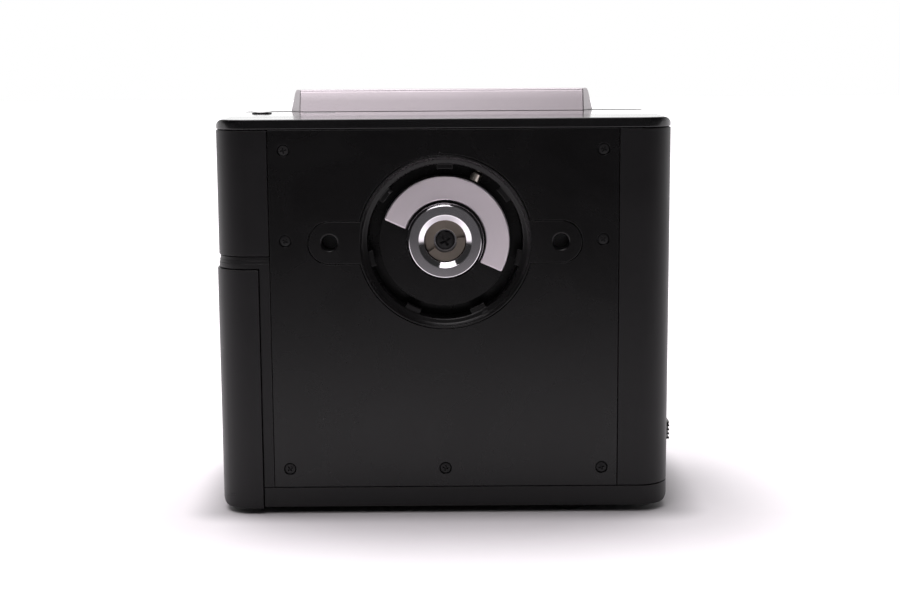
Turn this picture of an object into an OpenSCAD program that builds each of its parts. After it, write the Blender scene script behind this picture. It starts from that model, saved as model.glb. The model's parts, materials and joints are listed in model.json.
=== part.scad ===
// Bulk film loader: a light-tight desk box that winds film from a 30 m roll into a long-load cassette.
// Frame: millimetres, +X right and +Z up as seen from the rear, where the drive socket is, and +Y
// towards the hinged lid at the front. The origin is on the table, under the middle of the box.

/* [Body] */
// Width of the body over its side covers
body_w = 195; // [190:1:205]
// Depth from the rear panel to the outside of the lid
body_d = 100; // [98:1:110]
// Height of the body without its feet
body_h = 168; // [166:1:176]
// Radius of the four upright corners
corner_r = 14; // [11:1:15]
// Radius of the long edges along the top and the bottom
edge_r = 4; // [3:0.5:5]
// Height of the rubber feet
foot_h = 3; // [2:0.5:5]
// Thickness of the moulded covers
wall = 2.4; // [2.2:0.1:2.6]

/* [Rear face] */
// Height of the top cap's skirt
cap_skirt_h = 4.2; // [4:0.1:5]
// Height of the band of the base tray under the rear panel
base_band_h = 8.6; // [8:0.1:10]
// Width of the rear panel
panel_w = 148.6; // [146:0.2:150]
// How far the magazine door stands proud of the body
door_proud = 0.8; // [0.4:0.1:1.2]
// Height of the top of the magazine door above the table
door_top_z = 107.2; // [104:0.2:108]

/* [Drive socket] */
// Height of the drive axis above the table
hub_z = 118.6; // [117:0.2:120]
// Sideways place of the drive axis
hub_x = 0.5; // [0:0.1:1]
// Outer radius of the socket ring
ring_r = 37.2; // [37:0.1:37.6]
// Distance between the two lug holes
lug_pitch = 98.6; // [98:0.2:100]
// Radius of the lug holes
lug_hole_r = 3.25; // [3:0.05:3.5]
// Number of bayonet tabs in the socket
tab_count = 7; // [5:1:8]
// Tilt of the half plate's cut edge
plate_tilt = 24.5; // [15:0.5:30]

/* [Film] */
// Outer radius of the largest bulk roll
roll_r = 46; // [44:0.5:46]
// Width of the film
film_w = 35; // [34:0.5:35.5]

/* [Hidden] */
$fn = 72;
eps = 0.01;

// Overall frame
half_w = body_w / 2;
rear_y = door_proud - (body_d + door_proud) / 2;
base_z = foot_h;
top_z = foot_h + body_h;
skirt_z = top_z - cap_skirt_h;
band_z = base_z + base_band_h;
rest_gap = 0.4;                       // seam between two covers
fit = 0.05;                           // radial clearance of a shaft in its bore

// Depths behind the rear face
lid_d = 84.4;                         // the lid's rim
frame_d = 84;                         // front of the chassis frame
panel_t = 3;
gear_d = 17;                          // rear side of the gears
gear_t = 4;
plate_d = 22.5;                       // bulkhead
plate_t = 3;
film_d = plate_d + plate_t;           // start of the film chamber

// Left-hand strip of the chassis and the magazine door
strip_x0 = -half_w + 18.6;
strip_x1 = -panel_w / 2 - 0.1;
door_x1 = strip_x0 - 0.3;
door_edge_r = 4;
door_bottom_z = base_z - 0.6;
door_front_d = 75.6;
ledge_z = [door_top_z + 0.4, door_top_z + 2.6, door_top_z + 3.9, door_top_z + 5.6];

// Axes inside, as [x, z]
hub = [hub_x, hub_z];
cassette = [-52, 44];
sprocket_axis = [-70.6, 146.4];
counter_axis = [-57.9, 155.5];
guide_axis = [-82.4, 128];
plunger_d = 76;                       // front wall of the magazine chamber
button_x = -84.2;
button_d = 70;
hinge_x = -half_w - 0.1;              // pins of the lid and of the magazine door
lid_hinge_d = 84.2;
door_hinge_d = 75.8;

// Gears
drive_teeth = 44;
idler_teeth = 54;
fork_teeth = 32;
pinion_teeth = 14;
drum_teeth = 48;
drum_module = 0.5;

// Centre of the gear that meets two others, at r1 from a and r2 from b, on the right of a to b
function gear_centre(a, b, r1, r2) =
    let (v = b - a, d = norm(v), u = v / d, t = (d * d + r1 * r1 - r2 * r2) / (2 * d),
         h = sqrt(r1 * r1 - t * t))
    a + t * u + h * [-u[1], u[0]];
function bearing(a, b) = atan2(b[1] - a[1], b[0] - a[0]);
// Angle of a tooth of the next gear, so that it meshes with a gear that has a tooth at angle ph
function mesh_phase(ph, n1, n2, dir) = dir + 180 - (n1 / n2) * (ph - dir) + 180 / n2;

idler = gear_centre(hub, cassette, (drive_teeth + idler_teeth) / 2, (idler_teeth + fork_teeth) / 2);
drive_phase = bearing(hub, idler);
idler_phase = mesh_phase(drive_phase, drive_teeth, idler_teeth, bearing(hub, idler));
fork_phase = mesh_phase(idler_phase, idler_teeth, fork_teeth, bearing(idler, cassette));
pinion_phase = bearing(sprocket_axis, counter_axis);
drum_phase = mesh_phase(pinion_phase, pinion_teeth, drum_teeth, pinion_phase);

// ---- helpers ----

function dep(d) = rear_y + d;

// Box from x0 to x1, between two depths, from z0 to z1
module block(x0, x1, d0, d1, z0, z1) {
    translate([x0, dep(d0), z0]) cube([x1 - x0, d1 - d0, z1 - z0]);
}
// Flat shape drawn in X and Z, thickened between two depths
module slice(d0, d1, at = [0, 0]) {
    translate([at[0], dep(d1), at[1]]) rotate([90, 0, 0]) linear_extrude(d1 - d0) children();
}
module rod(at, r, d0, d1) {
    slice(d0, d1, at) circle(r = r);
}
module tube(at, r_out, r_in, d0, d1) {
    slice(d0, d1, at) difference() {
        circle(r = r_out);
        circle(r = r_in);
    }
}
module post(x, d, r, z0, z1) {
    translate([x, dep(d), z0]) cylinder(r = r, h = z1 - z0);
}
// Profile in radius and depth, turned about a line along Y; depth runs towards the front
module turned(at) {
    translate([at[0], rear_y, at[1]]) rotate([-90, 0, 0]) rotate_extrude() children();
}
module round_rect(w, h, r) {
    square([w - 2 * r, h], center = true);
    square([w, h - 2 * r], center = true);
    for (sx = [-1, 1], sy = [-1, 1])
        translate([sx * (w / 2 - r), sy * (h / 2 - r)]) circle(r = r);
}
// The body's outer form, or a smaller one inset by i on every side
module form(i = 0) {
    er = max(edge_r - i, 0.6);
    intersection() {
        translate([0, dep(body_d / 2), base_z + i]) linear_extrude(body_h - 2 * i)
            round_rect(body_w - 2 * i, body_d - 2 * i, corner_r - i);
        slice(i, body_d - i, [0, base_z + body_h / 2]) round_rect(body_w - 2 * i, body_h - 2 * i, er);
    }
}
// The part of the cover skin inside a box
module skin(x0, x1, d0, d1, z0, z1, t = wall) {
    intersection() {
        difference() {
            form();
            form(t);
        }
        block(x0, x1, d0, d1, z0, z1);
    }
}
module gear2d(n, m, phase, bore_r) {
    pitch = 360 / n;
    root = m * (n / 2 - 1.2);
    tip = m * (n / 2 + 0.85);
    a_root = 1.06 * m / root * 180 / PI;
    a_tip = 0.36 * m / tip * 180 / PI;
    difference() {
        polygon([for (k = [0:n - 1], c = [[-a_root, root], [-a_tip, tip], [a_tip, tip], [a_root, root]])
            let (a = phase + k * pitch + c[0]) c[1] * [cos(a), sin(a)]]);
        circle(r = bore_r);
    }
}
module spur_gear(at, n, m, phase, bore_r, d0, d1) {
    slice(d0, d1, at) gear2d(n, m, phase, bore_r);
}
module ring_sector(r0, r1, a0, a1) {
    intersection() {
        difference() {
            circle(r = r1);
            circle(r = r0);
        }
        polygon([[0, 0], for (k = [0:4]) let (a = a0 + (a1 - a0) * k / 4) 2 * r1 * [cos(a), sin(a)]]);
    }
}

// ---- body shells ----

module ears(grow = 0) {
    circle(r = ring_r + grow);
    square([lug_pitch, 2 * (9 + grow)], center = true);
    for (s = [-1, 1]) translate([s * lug_pitch / 2, 0]) circle(r = 9 + grow);
}

// Moulded frame: the strip beside the rear panel, the stepped ledge, the inner walls and the front rim
module chassis() {
    inner = 5;
    color([0.14, 0.14, 0.15]) {
        block(strip_x0, strip_x1, 0, wall, band_z + 0.2, ledge_z[0] + 1);
        block(strip_x0, strip_x0 + wall, wall - eps, plate_d - 0.1, band_z + 0.2, ledge_z[0] + 1);
        for (z = door_hinge_z, k = [0, 2])
            knuckle(door_hinge_d, z + k * (door_knuckle_h + 0.2), door_knuckle_h, door_hinge_d + 0.2,
                    door_hinge_d + 4.4);
        difference() {
            union() {
                for (k = [0:2]) intersection() {
                    difference() {
                        form(0.25 * k);
                        form(4.6);
                    }
                    block(-half_w, strip_x1, 0, frame_d, ledge_z[k], ledge_z[k + 1]);
                }
                skin(-half_w, -half_w + 8, door_front_d + 0.4, frame_d, band_z + 0.3, ledge_z[0] + 1);
                intersection() {
                    form(wall + 0.2);
                    union() {
                        block(-half_w, inner - half_w, 6, frame_d, ledge_z[2], skirt_z - 0.4);
                        block(half_w - inner, half_w, 6, frame_d, band_z + 0.2, skirt_z - 0.4);
                        block(inner - half_w - 1, half_w - inner + 1, frame_d - 4, frame_d, skirt_z - 1.6,
                              skirt_z - 0.4);
                        block(-18, half_w - inner + 1, frame_d - 4, frame_d, band_z + 0.2, band_z + 6);
                        block(inner - half_w - 1, 13 - half_w, frame_d - 4, frame_d, ledge_z[2],
                              skirt_z - 0.4);
                    }
                }
            }
            block(half_w - 8, half_w, 15, 33, 16.4, 47.2);
            lid_hinge_pockets();
            door_hinge_pockets();
        }
    }
}

module base_tray() {
    color([0.14, 0.14, 0.15]) {
        difference() {
            skin(-half_w, half_w, 0, frame_d, base_z, band_z);
            block(-half_w - 1, strip_x0, -1, frame_d + 1, base_z - 1, band_z + 1);
            foot_holes();
        }
        difference() {
            block(-half_w + 8.2, strip_x0 + 0.1, wall + 0.4, door_front_d, base_z + 0.2, base_z + wall);
            foot_holes();
        }
        skin(-half_w, strip_x0 + 0.1, door_front_d + 0.5, frame_d, base_z, band_z);
    }
}

feet_at = [[-60, 33], [53.5, 13], [-60, 72], [53.5, 72]];
foot_r = 8.5;
module foot_holes() {
    for (p = feet_at) post(p[0], p[1], 1.7, base_z - 1, base_z + 5);
}

// Second moulding: the room for the cassette, open to the left behind its door
module magazine_chamber() {
    x_wall = -20;
    top = ledge_z[0] - 2.6;
    arc_r = roll_r + 2.6;
    t = 2;
    floor_z = base_z + wall + 0.2;
    color([0.12, 0.12, 0.13]) {
        difference() {
            union() {
                block(-half_w + 5, -hub_x - arc_r + 2, film_d + 0.1, frame_d - 4.2, top - t, top);
                slice(film_d + 0.1, frame_d - 4.2, hub) ring_sector(arc_r, arc_r + t, 195, 245);
                block(x_wall - t, x_wall, film_d + 0.1, frame_d - 4.2, floor_z, hub_z - sqrt(pow(arc_r + 1, 2)
                      - pow(hub_x - x_wall, 2)));
                block(-half_w + 5, x_wall, plunger_d, plunger_d + 2.4, floor_z, 67);
                difference() {
                    block(-half_w + 5, x_wall, plunger_d, plunger_d + 2.4, 66, top);
                    rod(hub, arc_r, plunger_d - 1, plunger_d + 4);
                }
            }
            block(-79.6, -74.4, film_d + 3, film_d + 43, top - t - 1, top + 1);
            rod(cassette, 5.05, plunger_d - 1, plunger_d + 4);
        }
    }
}

// Metal plate that carries every bearing, with pillars that the rear panel is screwed to
module bulkhead() {
    color([0.62, 0.63, 0.65]) difference() {
        union() {
            block(strip_x0 + 0.1, half_w - 10.7, plate_d, film_d, base_z + wall + 0.2, skirt_z - 0.6);
            for (p = screw_at) rod(p, 3.4, panel_t + 0.1, plate_d + eps);
        }
        for (p = screw_at) rod(p, 1.35, 0, 10);
        rod(hub, 7.02, plate_d - 1, film_d + 1);
        rod(cassette, 6.02, plate_d - 1, film_d + 1);
        rod(sprocket_axis, 4.02, plate_d - 1, film_d + 1);
        rod(idler, 3.02, plate_d - 1, film_d + 1);
        rod(guide_axis, 2, plate_d - 1, film_d + 1);
    }
}

window = [14, 9];                     // the counter window, across and deep
window_d = 73;
module top_cap() {
    color([0.13, 0.13, 0.14]) difference() {
        intersection() {
            form();
            block(-half_w, half_w, 0, frame_d, skirt_z, top_z);
        }
        intersection() {
            form(wall);
            block(-half_w, half_w, 0, frame_d + 1, skirt_z - 1, top_z - wall);
        }
        block(counter_axis[0] - window[0] / 2, counter_axis[0] + window[0] / 2, window_d - window[1] / 2,
              window_d + window[1] / 2, top_z - wall - 1, top_z + 1);
        post(button_x, button_d, 2.6, top_z - wall - 1, top_z + 1);
        post(button_x, button_d, 5, top_z - 1.1, top_z + 1);
    }
}

module rear_panel() {
    color([0.1, 0.1, 0.105]) difference() {
        block(-panel_w / 2 + 0.1, panel_w / 2, 0, panel_t, band_z + 0.3, skirt_z - 0.3);
        slice(-1, panel_t + 1, hub) ears(0.25);
        for (p = screw_at) {
            rod(p, 1.4, -1, panel_t + 1);
            rod(p, 2.6, -1, 1.3);
        }
    }
}

screw_at = [[-67.5, 158], [-67.5, hub_z + 1], [-67.5, 20], [0, 20], [67.7, 20], [67.7, 157.8],
            [67.7, hub_z + 1]];
module panel_screws() {
    color([0.08, 0.08, 0.09]) for (p = screw_at) difference() {
        union() {
            rod(p, 2.4, 0.25, 1.25);
            rod(p, 1.3, 1.25, 9);
        }
        for (a = [45, 135]) slice(-0.1, 0.85, p) rotate(a) square([2.6, 0.6], center = true);
    }
}

cup_r = 33.1;
cup_floor_d = 14.8;
insert_r = 5.3;
module socket_ring() {
    tab_w = 6.8;
    color([0.11, 0.11, 0.115]) {
        difference() {
            union() {
                slice(0, panel_t, hub) ears();
                rod(hub, cup_r + 2, panel_t - eps, cup_floor_d + 1.4);
                for (s = [-1, 1]) rod(hub + [s * lug_pitch / 2, 0], 7.2, panel_t - eps, 9);
            }
            rod(hub, cup_r, 2.6, cup_floor_d);
            turned(hub) polygon([[0, -1], [ring_r - 0.9, -1], [ring_r - 0.9, 0.4], [ring_r - 2, 1.8],
                                 [cup_r + 0.4, 2.4], [cup_r - 0.1, 3.4], [0, 3.4]]);
            rod(hub, 5, cup_floor_d - 1, cup_floor_d + 3);
            for (s = [-1, 1]) {
                rod(hub + [s * lug_pitch / 2, 0], lug_hole_r, -1, 10);
                rod(hub + [s * lug_pitch / 2, 0], insert_r + fit, 4, 10);
                turned(hub + [s * lug_pitch / 2, 0]) polygon([[0, -0.1], [lug_hole_r + 0.7, -0.1],
                                                              [lug_hole_r - 0.1, 0.7], [0, 0.7]]);
            }
        }
        slice(3, 6, hub) for (k = [0:tab_count - 1]) rotate(90 + k * 360 / tab_count) intersection() {
            difference() {
                circle(r = cup_r + 0.5);
                circle(r = 31);
            }
            translate([cup_r, 0]) square([8, tab_w], center = true);
        }
    }
}

module lug_inserts() {
    color([0.75, 0.72, 0.62]) for (s = [-1, 1])
        tube(hub + [s * lug_pitch / 2, 0], insert_r, lug_hole_r, 4.1, 8.9);
}

module left_cover() {
    color([0.13, 0.13, 0.14]) difference() {
        skin(-half_w, strip_x1 - 0.1, 0, frame_d, ledge_z[3] + 0.3, skirt_z - rest_gap);
        lid_hinge_pockets();
    }
}

module right_cover() {
    color([0.14, 0.14, 0.15]) difference() {
        skin(panel_w / 2 + 0.3, half_w, 0, frame_d, band_z + 0.3, skirt_z - rest_gap);
        block(half_w - 4, half_w + 1, 20.5, 27.5, 19.2, 35.5);
    }
}

module feet() {
    color([0.07, 0.07, 0.07]) for (p = feet_at) difference() {
        post(p[0], p[1], foot_r, 0, base_z);
        post(p[0], p[1], 3.2, -1, 1.4);
        post(p[0], p[1], 1.7, 1, base_z + 1);
    }
}

module foot_screws() {
    color([0.7, 0.7, 0.72]) for (p = feet_at) {
        post(p[0], p[1], 3, 0.3, 1.38);
        post(p[0], p[1], 1.6, 1.38, base_z + wall + 0.6);
    }
}

// ---- bearings and fixed inner parts ----

module flanged_bush(at, r_out, r_in, flange_r) {
    tube(at, r_out, r_in, plate_d - 0.6, film_d);
    tube(at, flange_r, r_in, plate_d - 1.2, plate_d - 0.1);
}
module spindle_bush() {
    color([0.78, 0.6, 0.3]) flanged_bush(hub, 7, 4 + fit, 9);
}
module fork_bush() {
    color([0.78, 0.6, 0.3]) flanged_bush(cassette, 6, 3.5 + fit, 7.6);
}
module sprocket_bush() {
    color([0.78, 0.6, 0.3]) tube(sprocket_axis, 4, 2 + fit, plate_d - 1, film_d);
}
module idler_post() {
    color([0.7, 0.71, 0.73]) {
        rod(idler, 3, gear_d - 1, film_d);
        rod(idler, 4.6, gear_d - 2, gear_d - 0.9);
    }
}
module core_post() {
    color([0.7, 0.71, 0.73]) {
        rod(hub, 13, film_d + 0.1, film_d + 2.1);
        rod(hub, 5, film_d + 2, 72);
    }
}
module brake_felt() {
    color([0.35, 0.1, 0.1]) tube(hub, 11, 6, film_d + 2.2, film_d + 3.4);
}
module guide_pin() {
    color([0.7, 0.71, 0.73]) {
        rod(guide_axis, 1.95, plate_d, film_d + 43);
        rod(guide_axis, 3.2, film_d + 42, film_d + 43.5);
    }
}
module light_trap_velvet() {
    top = ledge_z[0] - 2.6;
    color([0.05, 0.05, 0.05]) for (x = [-80.6, -75.6])
        block(x, x + 2.2, film_d + 3.2, film_d + 42.8, top + 0.1, top + 3.6);
}

bracket_d = 65;
module counter_bracket() {
    color([0.6, 0.61, 0.63]) difference() {
        union() {
            block(-half_w + 5.2, -44, bracket_d, bracket_d + 1.5, 137, skirt_z - 0.6);
            block(-half_w + 5.2, -44, 79.6 - 14.6, 79.6, 164, skirt_z - 0.6);
        }
        rod(sprocket_axis, 2.5, bracket_d - 1, bracket_d + 2);
        rod(counter_axis, 1.52, bracket_d - 1, bracket_d + 2);
        rod(counter_axis, 13.2, bracket_d + 1.5, 80);
        block(button_x - 6, button_x + 6, button_d - 6, button_d + 6, 150, skirt_z);
    }
}
module counter_shaft() {
    color([0.75, 0.75, 0.77]) {
        rod(counter_axis, 1.5, bracket_d, 79.4);
        rod(counter_axis, 2.6, 78.6, 79.4);
    }
}
module counter_window() {
    g = 0.1;
    color([0.8, 0.85, 0.88, 0.4])
        block(counter_axis[0] - window[0] / 2 + g, counter_axis[0] + window[0] / 2 - g,
              window_d - window[1] / 2 + g, window_d + window[1] / 2 - g, top_z - 1.7, top_z - 0.2);
}
well_z = top_z - wall - 10;
module button_well() {
    color([0.2, 0.2, 0.21]) translate([button_x, dep(button_d), 0]) difference() {
        translate([0, 0, well_z - 1.5]) cylinder(r = 5.4, h = 11.4);
        translate([0, 0, well_z]) cylinder(r = 4.1, h = 12);
        translate([0, 0, well_z - 3]) cylinder(r = 2.5, h = 12);
    }
}

// ---- lid hinge, door hinge, latch guides ----

knuckle_r = 2.1;
lid_hinge_z = [16, 132];              // lower ends of the two lid hinges
door_hinge_z = [50, 86];              // and of the two door hinges
lid_knuckle_h = 9;
door_knuckle_h = 5;
// One knuckle around the pin at a depth, with its lug from depth d0 to d1
module knuckle(pin_depth, z, h, d0, d1) {
    difference() {
        union() {
            post(hinge_x, pin_depth, knuckle_r, z, z + h);
            block(hinge_x, hinge_x + 4, d0, d1, z, z + h);
        }
        post(hinge_x, pin_depth, 1 + fit, z - 1, z + h + 1);
    }
}
// Room for the three knuckles of one hinge
module hinge_pocket(pin_depth, z, h) {
    post(hinge_x, pin_depth, knuckle_r + 0.4, z - 1.2, z + 3 * h + 1.6);
    block(-half_w - 2, hinge_x + 4.2, pin_depth - 4.2, pin_depth + 4.2, z - 1.2, z + 3 * h + 1.6);
}
module lid_hinge_pockets() {
    for (z = lid_hinge_z) hinge_pocket(lid_hinge_d, z, lid_knuckle_h);
}
module door_hinge_pockets() {
    for (z = door_hinge_z) hinge_pocket(door_hinge_d, z, door_knuckle_h);
}
module lid_hinge_body() {
    color([0.3, 0.3, 0.32]) for (z = lid_hinge_z, k = [0, 2])
        knuckle(lid_hinge_d, z + k * (lid_knuckle_h + 0.2), lid_knuckle_h, lid_hinge_d - 4, lid_hinge_d - 0.2);
}
module lid_hinge_leaf() {
    color([0.3, 0.3, 0.32]) for (z = lid_hinge_z)
        knuckle(lid_hinge_d, z + lid_knuckle_h + 0.2, lid_knuckle_h, lid_hinge_d + 0.2, lid_hinge_d + 4);
}
module lid_hinge_pin() {
    color([0.75, 0.75, 0.77]) for (z = lid_hinge_z)
        post(hinge_x, lid_hinge_d, 1, z - 1, z + 3 * lid_knuckle_h + 1.4);
}
module door_hinge_pin() {
    color([0.75, 0.75, 0.77]) for (z = door_hinge_z)
        post(hinge_x, door_hinge_d, 1, z - 1, z + 3 * door_knuckle_h + 1.4);
}
module door_catch_leaf() {
    z = ledge_z[0];
    color([0.75, 0.75, 0.77]) block(-half_w + 4.2, -half_w + 4.6, 42, 58, z - 10, z - 0.1);
}
latch_x = half_w - 7.4;
module latch_guides() {
    color([0.6, 0.61, 0.63]) for (z = [78, 104]) difference() {
        block(latch_x - 3.2, latch_x + 2.35, 17, 31, z, z + 8);
        block(latch_x - 2.05, latch_x + 0.05, 18.9, 29.1, z - 1, z + 9);
    }
}

// ---- drive train ----

module drive_hub() {
    color([0.8, 0.8, 0.82]) turned(hub)
        polygon([[4 + fit, 9.4], [9, 9.4], [9, 3.6], [11.4, 2], [15.3, 2], [16.5, 3.2], [16.5, 7.2],
                 [13, 7.2], [13, 11], [4 + fit, 11]]);
}
// Drive dog: a ring with one half raised, which a crank or a motor turns
module dog_sleeve() {
    color([0.62, 0.55, 0.45]) {
        tube(hub, 8.7, 4.9, 7.2, 9.35);
        slice(5.0, 7.3, hub) ring_sector(4.9, 8.7, 90 - 237, 90 - 79);
    }
}
module hub_screw() {
    color([0.25, 0.22, 0.2]) difference() {
        union() {
            rod(hub, 4.1, 6.8, 9.3);
            rod(hub, 1.9, 9.2, 16);
        }
        for (a = [30, 120]) slice(5, 8.2, hub) rotate(a) square([4.4, 0.9], center = true);
    }
}
module half_plate() {
    cut = -2.45;
    color([0.72, 0.68, 0.7]) slice(5.3, 7.2, hub) difference() {
        circle(r = 27.8);
        circle(r = 17.5);
        rotate(-plate_tilt) translate([-40, cut - 40]) square([80, 40]);
    }
}
disc_r = 28.4;
pin_tilt = 26;
pin_d = 10.6;
module drive_disc() {
    color([0.1, 0.1, 0.1]) difference() {
        rod(hub, disc_r, 7.25, 14.2);
        rod(hub, 13.05, 7, 11.05);
        rod(hub, 4 + fit, 6, 16);
        translate([hub_x, dep(pin_d), hub_z]) rotate([0, pin_tilt, 0]) cylinder(r = 2.5 + fit, h = 40);
    }
}
module radial_pin() {
    color([0.75, 0.7, 0.64]) translate([hub_x, dep(pin_d), hub_z]) rotate([0, pin_tilt, 0])
        translate([0, 0, 16]) cylinder(r = 2.5, h = 16.4);
}
module drive_spindle() {
    color([0.7, 0.71, 0.73]) difference() {
        rod(hub, 4, 9.42, film_d - 0.1);
        rod(hub, 1.95, 9, 17);
    }
}
module drive_gear() {
    color([0.85, 0.82, 0.7]) spur_gear(hub, drive_teeth, 1, drive_phase, 4 + fit, gear_d, gear_d + gear_t);
}
module idler_gear() {
    color([0.9, 0.9, 0.86])
        spur_gear(idler, idler_teeth, 1, idler_phase, 3 + fit, gear_d - 0.4, gear_d + gear_t);
}
module fork_gear() {
    color([0.85, 0.82, 0.7])
        spur_gear(cassette, fork_teeth, 1, fork_phase, 3.5 + fit, gear_d, gear_d + gear_t - 0.2);
}
module winding_fork() {
    color([0.7, 0.71, 0.73]) difference() {
        union() {
            rod(cassette, 3.5, gear_d - 1, film_d + 1.2);
            rod(cassette, 6.5, film_d + 0.3, film_d + 4);
            rod(cassette, 4.2, film_d + 3.9, film_d + 11);
        }
        slice(film_d + 4.4, film_d + 12, cassette) square([2.4, 10], center = true);
    }
}

core_d0 = film_d + 3.6;
module core_holder() {
    color([0.16, 0.16, 0.17]) difference() {
        union() {
            rod(hub, 30, core_d0, core_d0 + 2);
            rod(hub, 12.6, core_d0 + 1.9, core_d0 + 2 + film_w);
            slice(core_d0 + 1.9, core_d0 + 2 + film_w, hub) translate([12, 0]) square([4, 3], center = true);
        }
        rod(hub, 5 + fit, core_d0 - 1, core_d0 + 3 + film_w);
        slice(core_d0 - 1, core_d0 + 3, hub) for (k = [0:5]) rotate(k * 60) translate([21.5, 0])
            circle(r = 5);
    }
}
module core_nut() {
    d0 = core_d0 + 2.3 + film_w;
    color([0.75, 0.75, 0.77]) slice(d0, d0 + 4.5, hub) gear2d(36, 0.5, 0, 5 + fit);
}

module sprocket() {
    d0 = film_d + 3;
    color([0.8, 0.8, 0.82]) {
        rod(sprocket_axis, 2, plate_d - 2, 79.4);
        difference() {
            rod(sprocket_axis, 4.6, d0, d0 + film_w);
            rod(sprocket_axis, 1.9, d0 - 1, d0 + 1);
        }
        for (d = [d0 + 1.2, d0 + film_w - 4.2]) {
            rod(sprocket_axis, 6, d, d + 3);
            slice(d + 0.6, d + 2.4, sprocket_axis) for (k = [0:7]) rotate(k * 45 + 22.5)
                translate([6.4, 0]) square([2, 1.9], center = true);
        }
    }
}
module counter_pinion() {
    color([0.85, 0.82, 0.7]) spur_gear(sprocket_axis, pinion_teeth, drum_module, pinion_phase, 2 + fit,
                                       bracket_d + 2.2, 78.8);
}
module counter_drum() {
    color([0.92, 0.92, 0.9]) {
        slice(75.8, 78, counter_axis) gear2d(drum_teeth, drum_module, drum_phase, 1.5 + fit);
        tube(counter_axis, 11.6, 1.5 + fit, bracket_d + 2.4, 75.9);
    }
}
module guide_roller() {
    d0 = film_d + 3;
    color([0.82, 0.82, 0.84]) difference() {
        union() {
            rod(guide_axis, 3.6, d0, d0 + film_w + 2);
            for (d = [d0, d0 + film_w + 0.6]) rod(guide_axis, 5, d, d + 1.4);
        }
        rod(guide_axis, 2, d0 - 1, d0 + film_w + 3);
    }
}

// ---- lid ----

module lid() {
    color([0.13, 0.13, 0.14]) difference() {
        intersection() {
            form();
            block(-half_w, half_w, lid_d, body_d, base_z, top_z);
        }
        intersection() {
            form(wall);
            block(-half_w, half_w, lid_d - 1, body_d - wall, base_z, top_z);
        }
        lid_hinge_pockets();
    }
}
grip_h = 10.2;
module lid_grip() {
    near = 67.1;
    far = 72.4;
    y0 = dep(lid_d + 0.2);
    y1 = dep(body_d - 1);
    color([0.13, 0.13, 0.14]) hull() {
        translate([0, 0, top_z]) linear_extrude(0.01)
            polygon([[-near - 1, y0], [near - 1, y0], [far - 1, y1], [-far - 1, y1]]);
        translate([0, 0, top_z + grip_h]) linear_extrude(0.01)
            polygon([[-near - 1, y0 + 5.2], [near - 1, y0 + 5.2], [far - 3.5, y1 - 1.5],
                     [-far + 1.5, y1 - 1.5]]);
    }
}
module lid_seal() {
    color([0.05, 0.05, 0.05]) difference() {
        intersection() {
            form(wall + 0.1);
            block(-half_w + 7, half_w, lid_d + 0.1, lid_d + 3.6, base_z, top_z);
        }
        block(-half_w + 12, half_w - 7.4, lid_d - 1, lid_d + 5, base_z + 7.4, top_z - 7.4);
    }
}
module lid_boss() {
    color([0.2, 0.2, 0.21]) difference() {
        rod(hub, 15, 74, body_d - wall - 0.05);
        rod(hub, 5.6, 73, 82);
    }
}
hook_z = [44, 128];
module lid_hooks() {
    color([0.7, 0.71, 0.73]) for (z = hook_z) {
        block(half_w - 16, half_w - 14, 76, body_d - wall - 0.05, z, z + 5);
        block(half_w - 16, half_w - 14, 76, 78.4, z + 4, z + 10);
        block(half_w - 23, half_w - 13.9, body_d - wall - 1.6, body_d - wall - 0.05, z - 3, z + 8);
    }
}
// ---- magazine door ----

module door_form(i = 0) {
    r = corner_r + door_proud - i;
    x0 = -half_w - door_proud + i;
    z0 = door_bottom_z + i;
    h = door_top_z + 10 - z0;
    intersection() {
        translate([0, 0, z0]) linear_extrude(h) union() {
            translate([x0 + r, dep(-door_proud + i) + r]) circle(r = r);
            translate([x0, dep(-door_proud + i) + r]) square([r, 90]);
            translate([x0 + r, dep(-door_proud + i)]) square([40, r]);
            translate([x0 + r - 1, dep(-door_proud + i) + r - 1]) square([41, 91]);
        }
        slice(-door_proud - 1, 100, [x0 + 40, z0 + h / 2]) round_rect(80, h, max(door_edge_r - i, 0.5));
    }
}
module magazine_door() {
    color([0.15, 0.15, 0.16]) {
        difference() {
            intersection() {
                difference() {
                    door_form();
                    door_form(wall);
                }
                block(-half_w - 2, door_x1, -door_proud, door_front_d, 0, door_top_z);
            }
            block(-half_w + 8, door_x1 + 1, wall - door_proud, door_front_d + 1, 0, door_bottom_z + 6);
            door_hinge_pockets();
        }
        for (z = door_hinge_z)
            knuckle(door_hinge_d, z + door_knuckle_h + 0.2, door_knuckle_h, door_hinge_d - 4.4,
                    door_hinge_d - 0.2);
    }
}
module magazine_pad() {
    color([0.06, 0.06, 0.06]) block(-half_w + 1.8, -half_w + 4, 30, 68, 24, 64);
}

// ---- controls ----

module lid_latch() {
    color([0.1, 0.1, 0.1]) {
        block(latch_x - 2, latch_x, 19, 29, 25, 148);
        block(latch_x - 0.1, half_w + 0.2, 21, 27, 27, 34.9);
        difference() {
            block(half_w + 0.1, half_w + 2.2, 20, 28, 26.8, 35.1);
            for (k = [0:4]) block(half_w + 1, half_w + 3, 19, 29, 26.5 + 1.85 * k, 27.5 + 1.85 * k);
        }
        for (z = hook_z) {
            block(latch_x - 2, latch_x, 28.9, 82.6, z + 14, z + 20);
            block(half_w - 16.2, latch_x, 79, 82.6, z + 14, z + 20);
        }
    }
}
module reset_button() {
    color([0.06, 0.06, 0.06]) translate([button_x, dep(button_d), 0]) {
        translate([0, 0, top_z - 0.15]) cylinder(r = 4.65, h = 1.1);
        translate([0, 0, well_z - 3.4]) cylinder(r = 2.4, h = top_z - well_z + 3.4);
        translate([0, 0, well_z + 7.6]) cylinder(r = 3.9, h = 1.9);
    }
}
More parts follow.
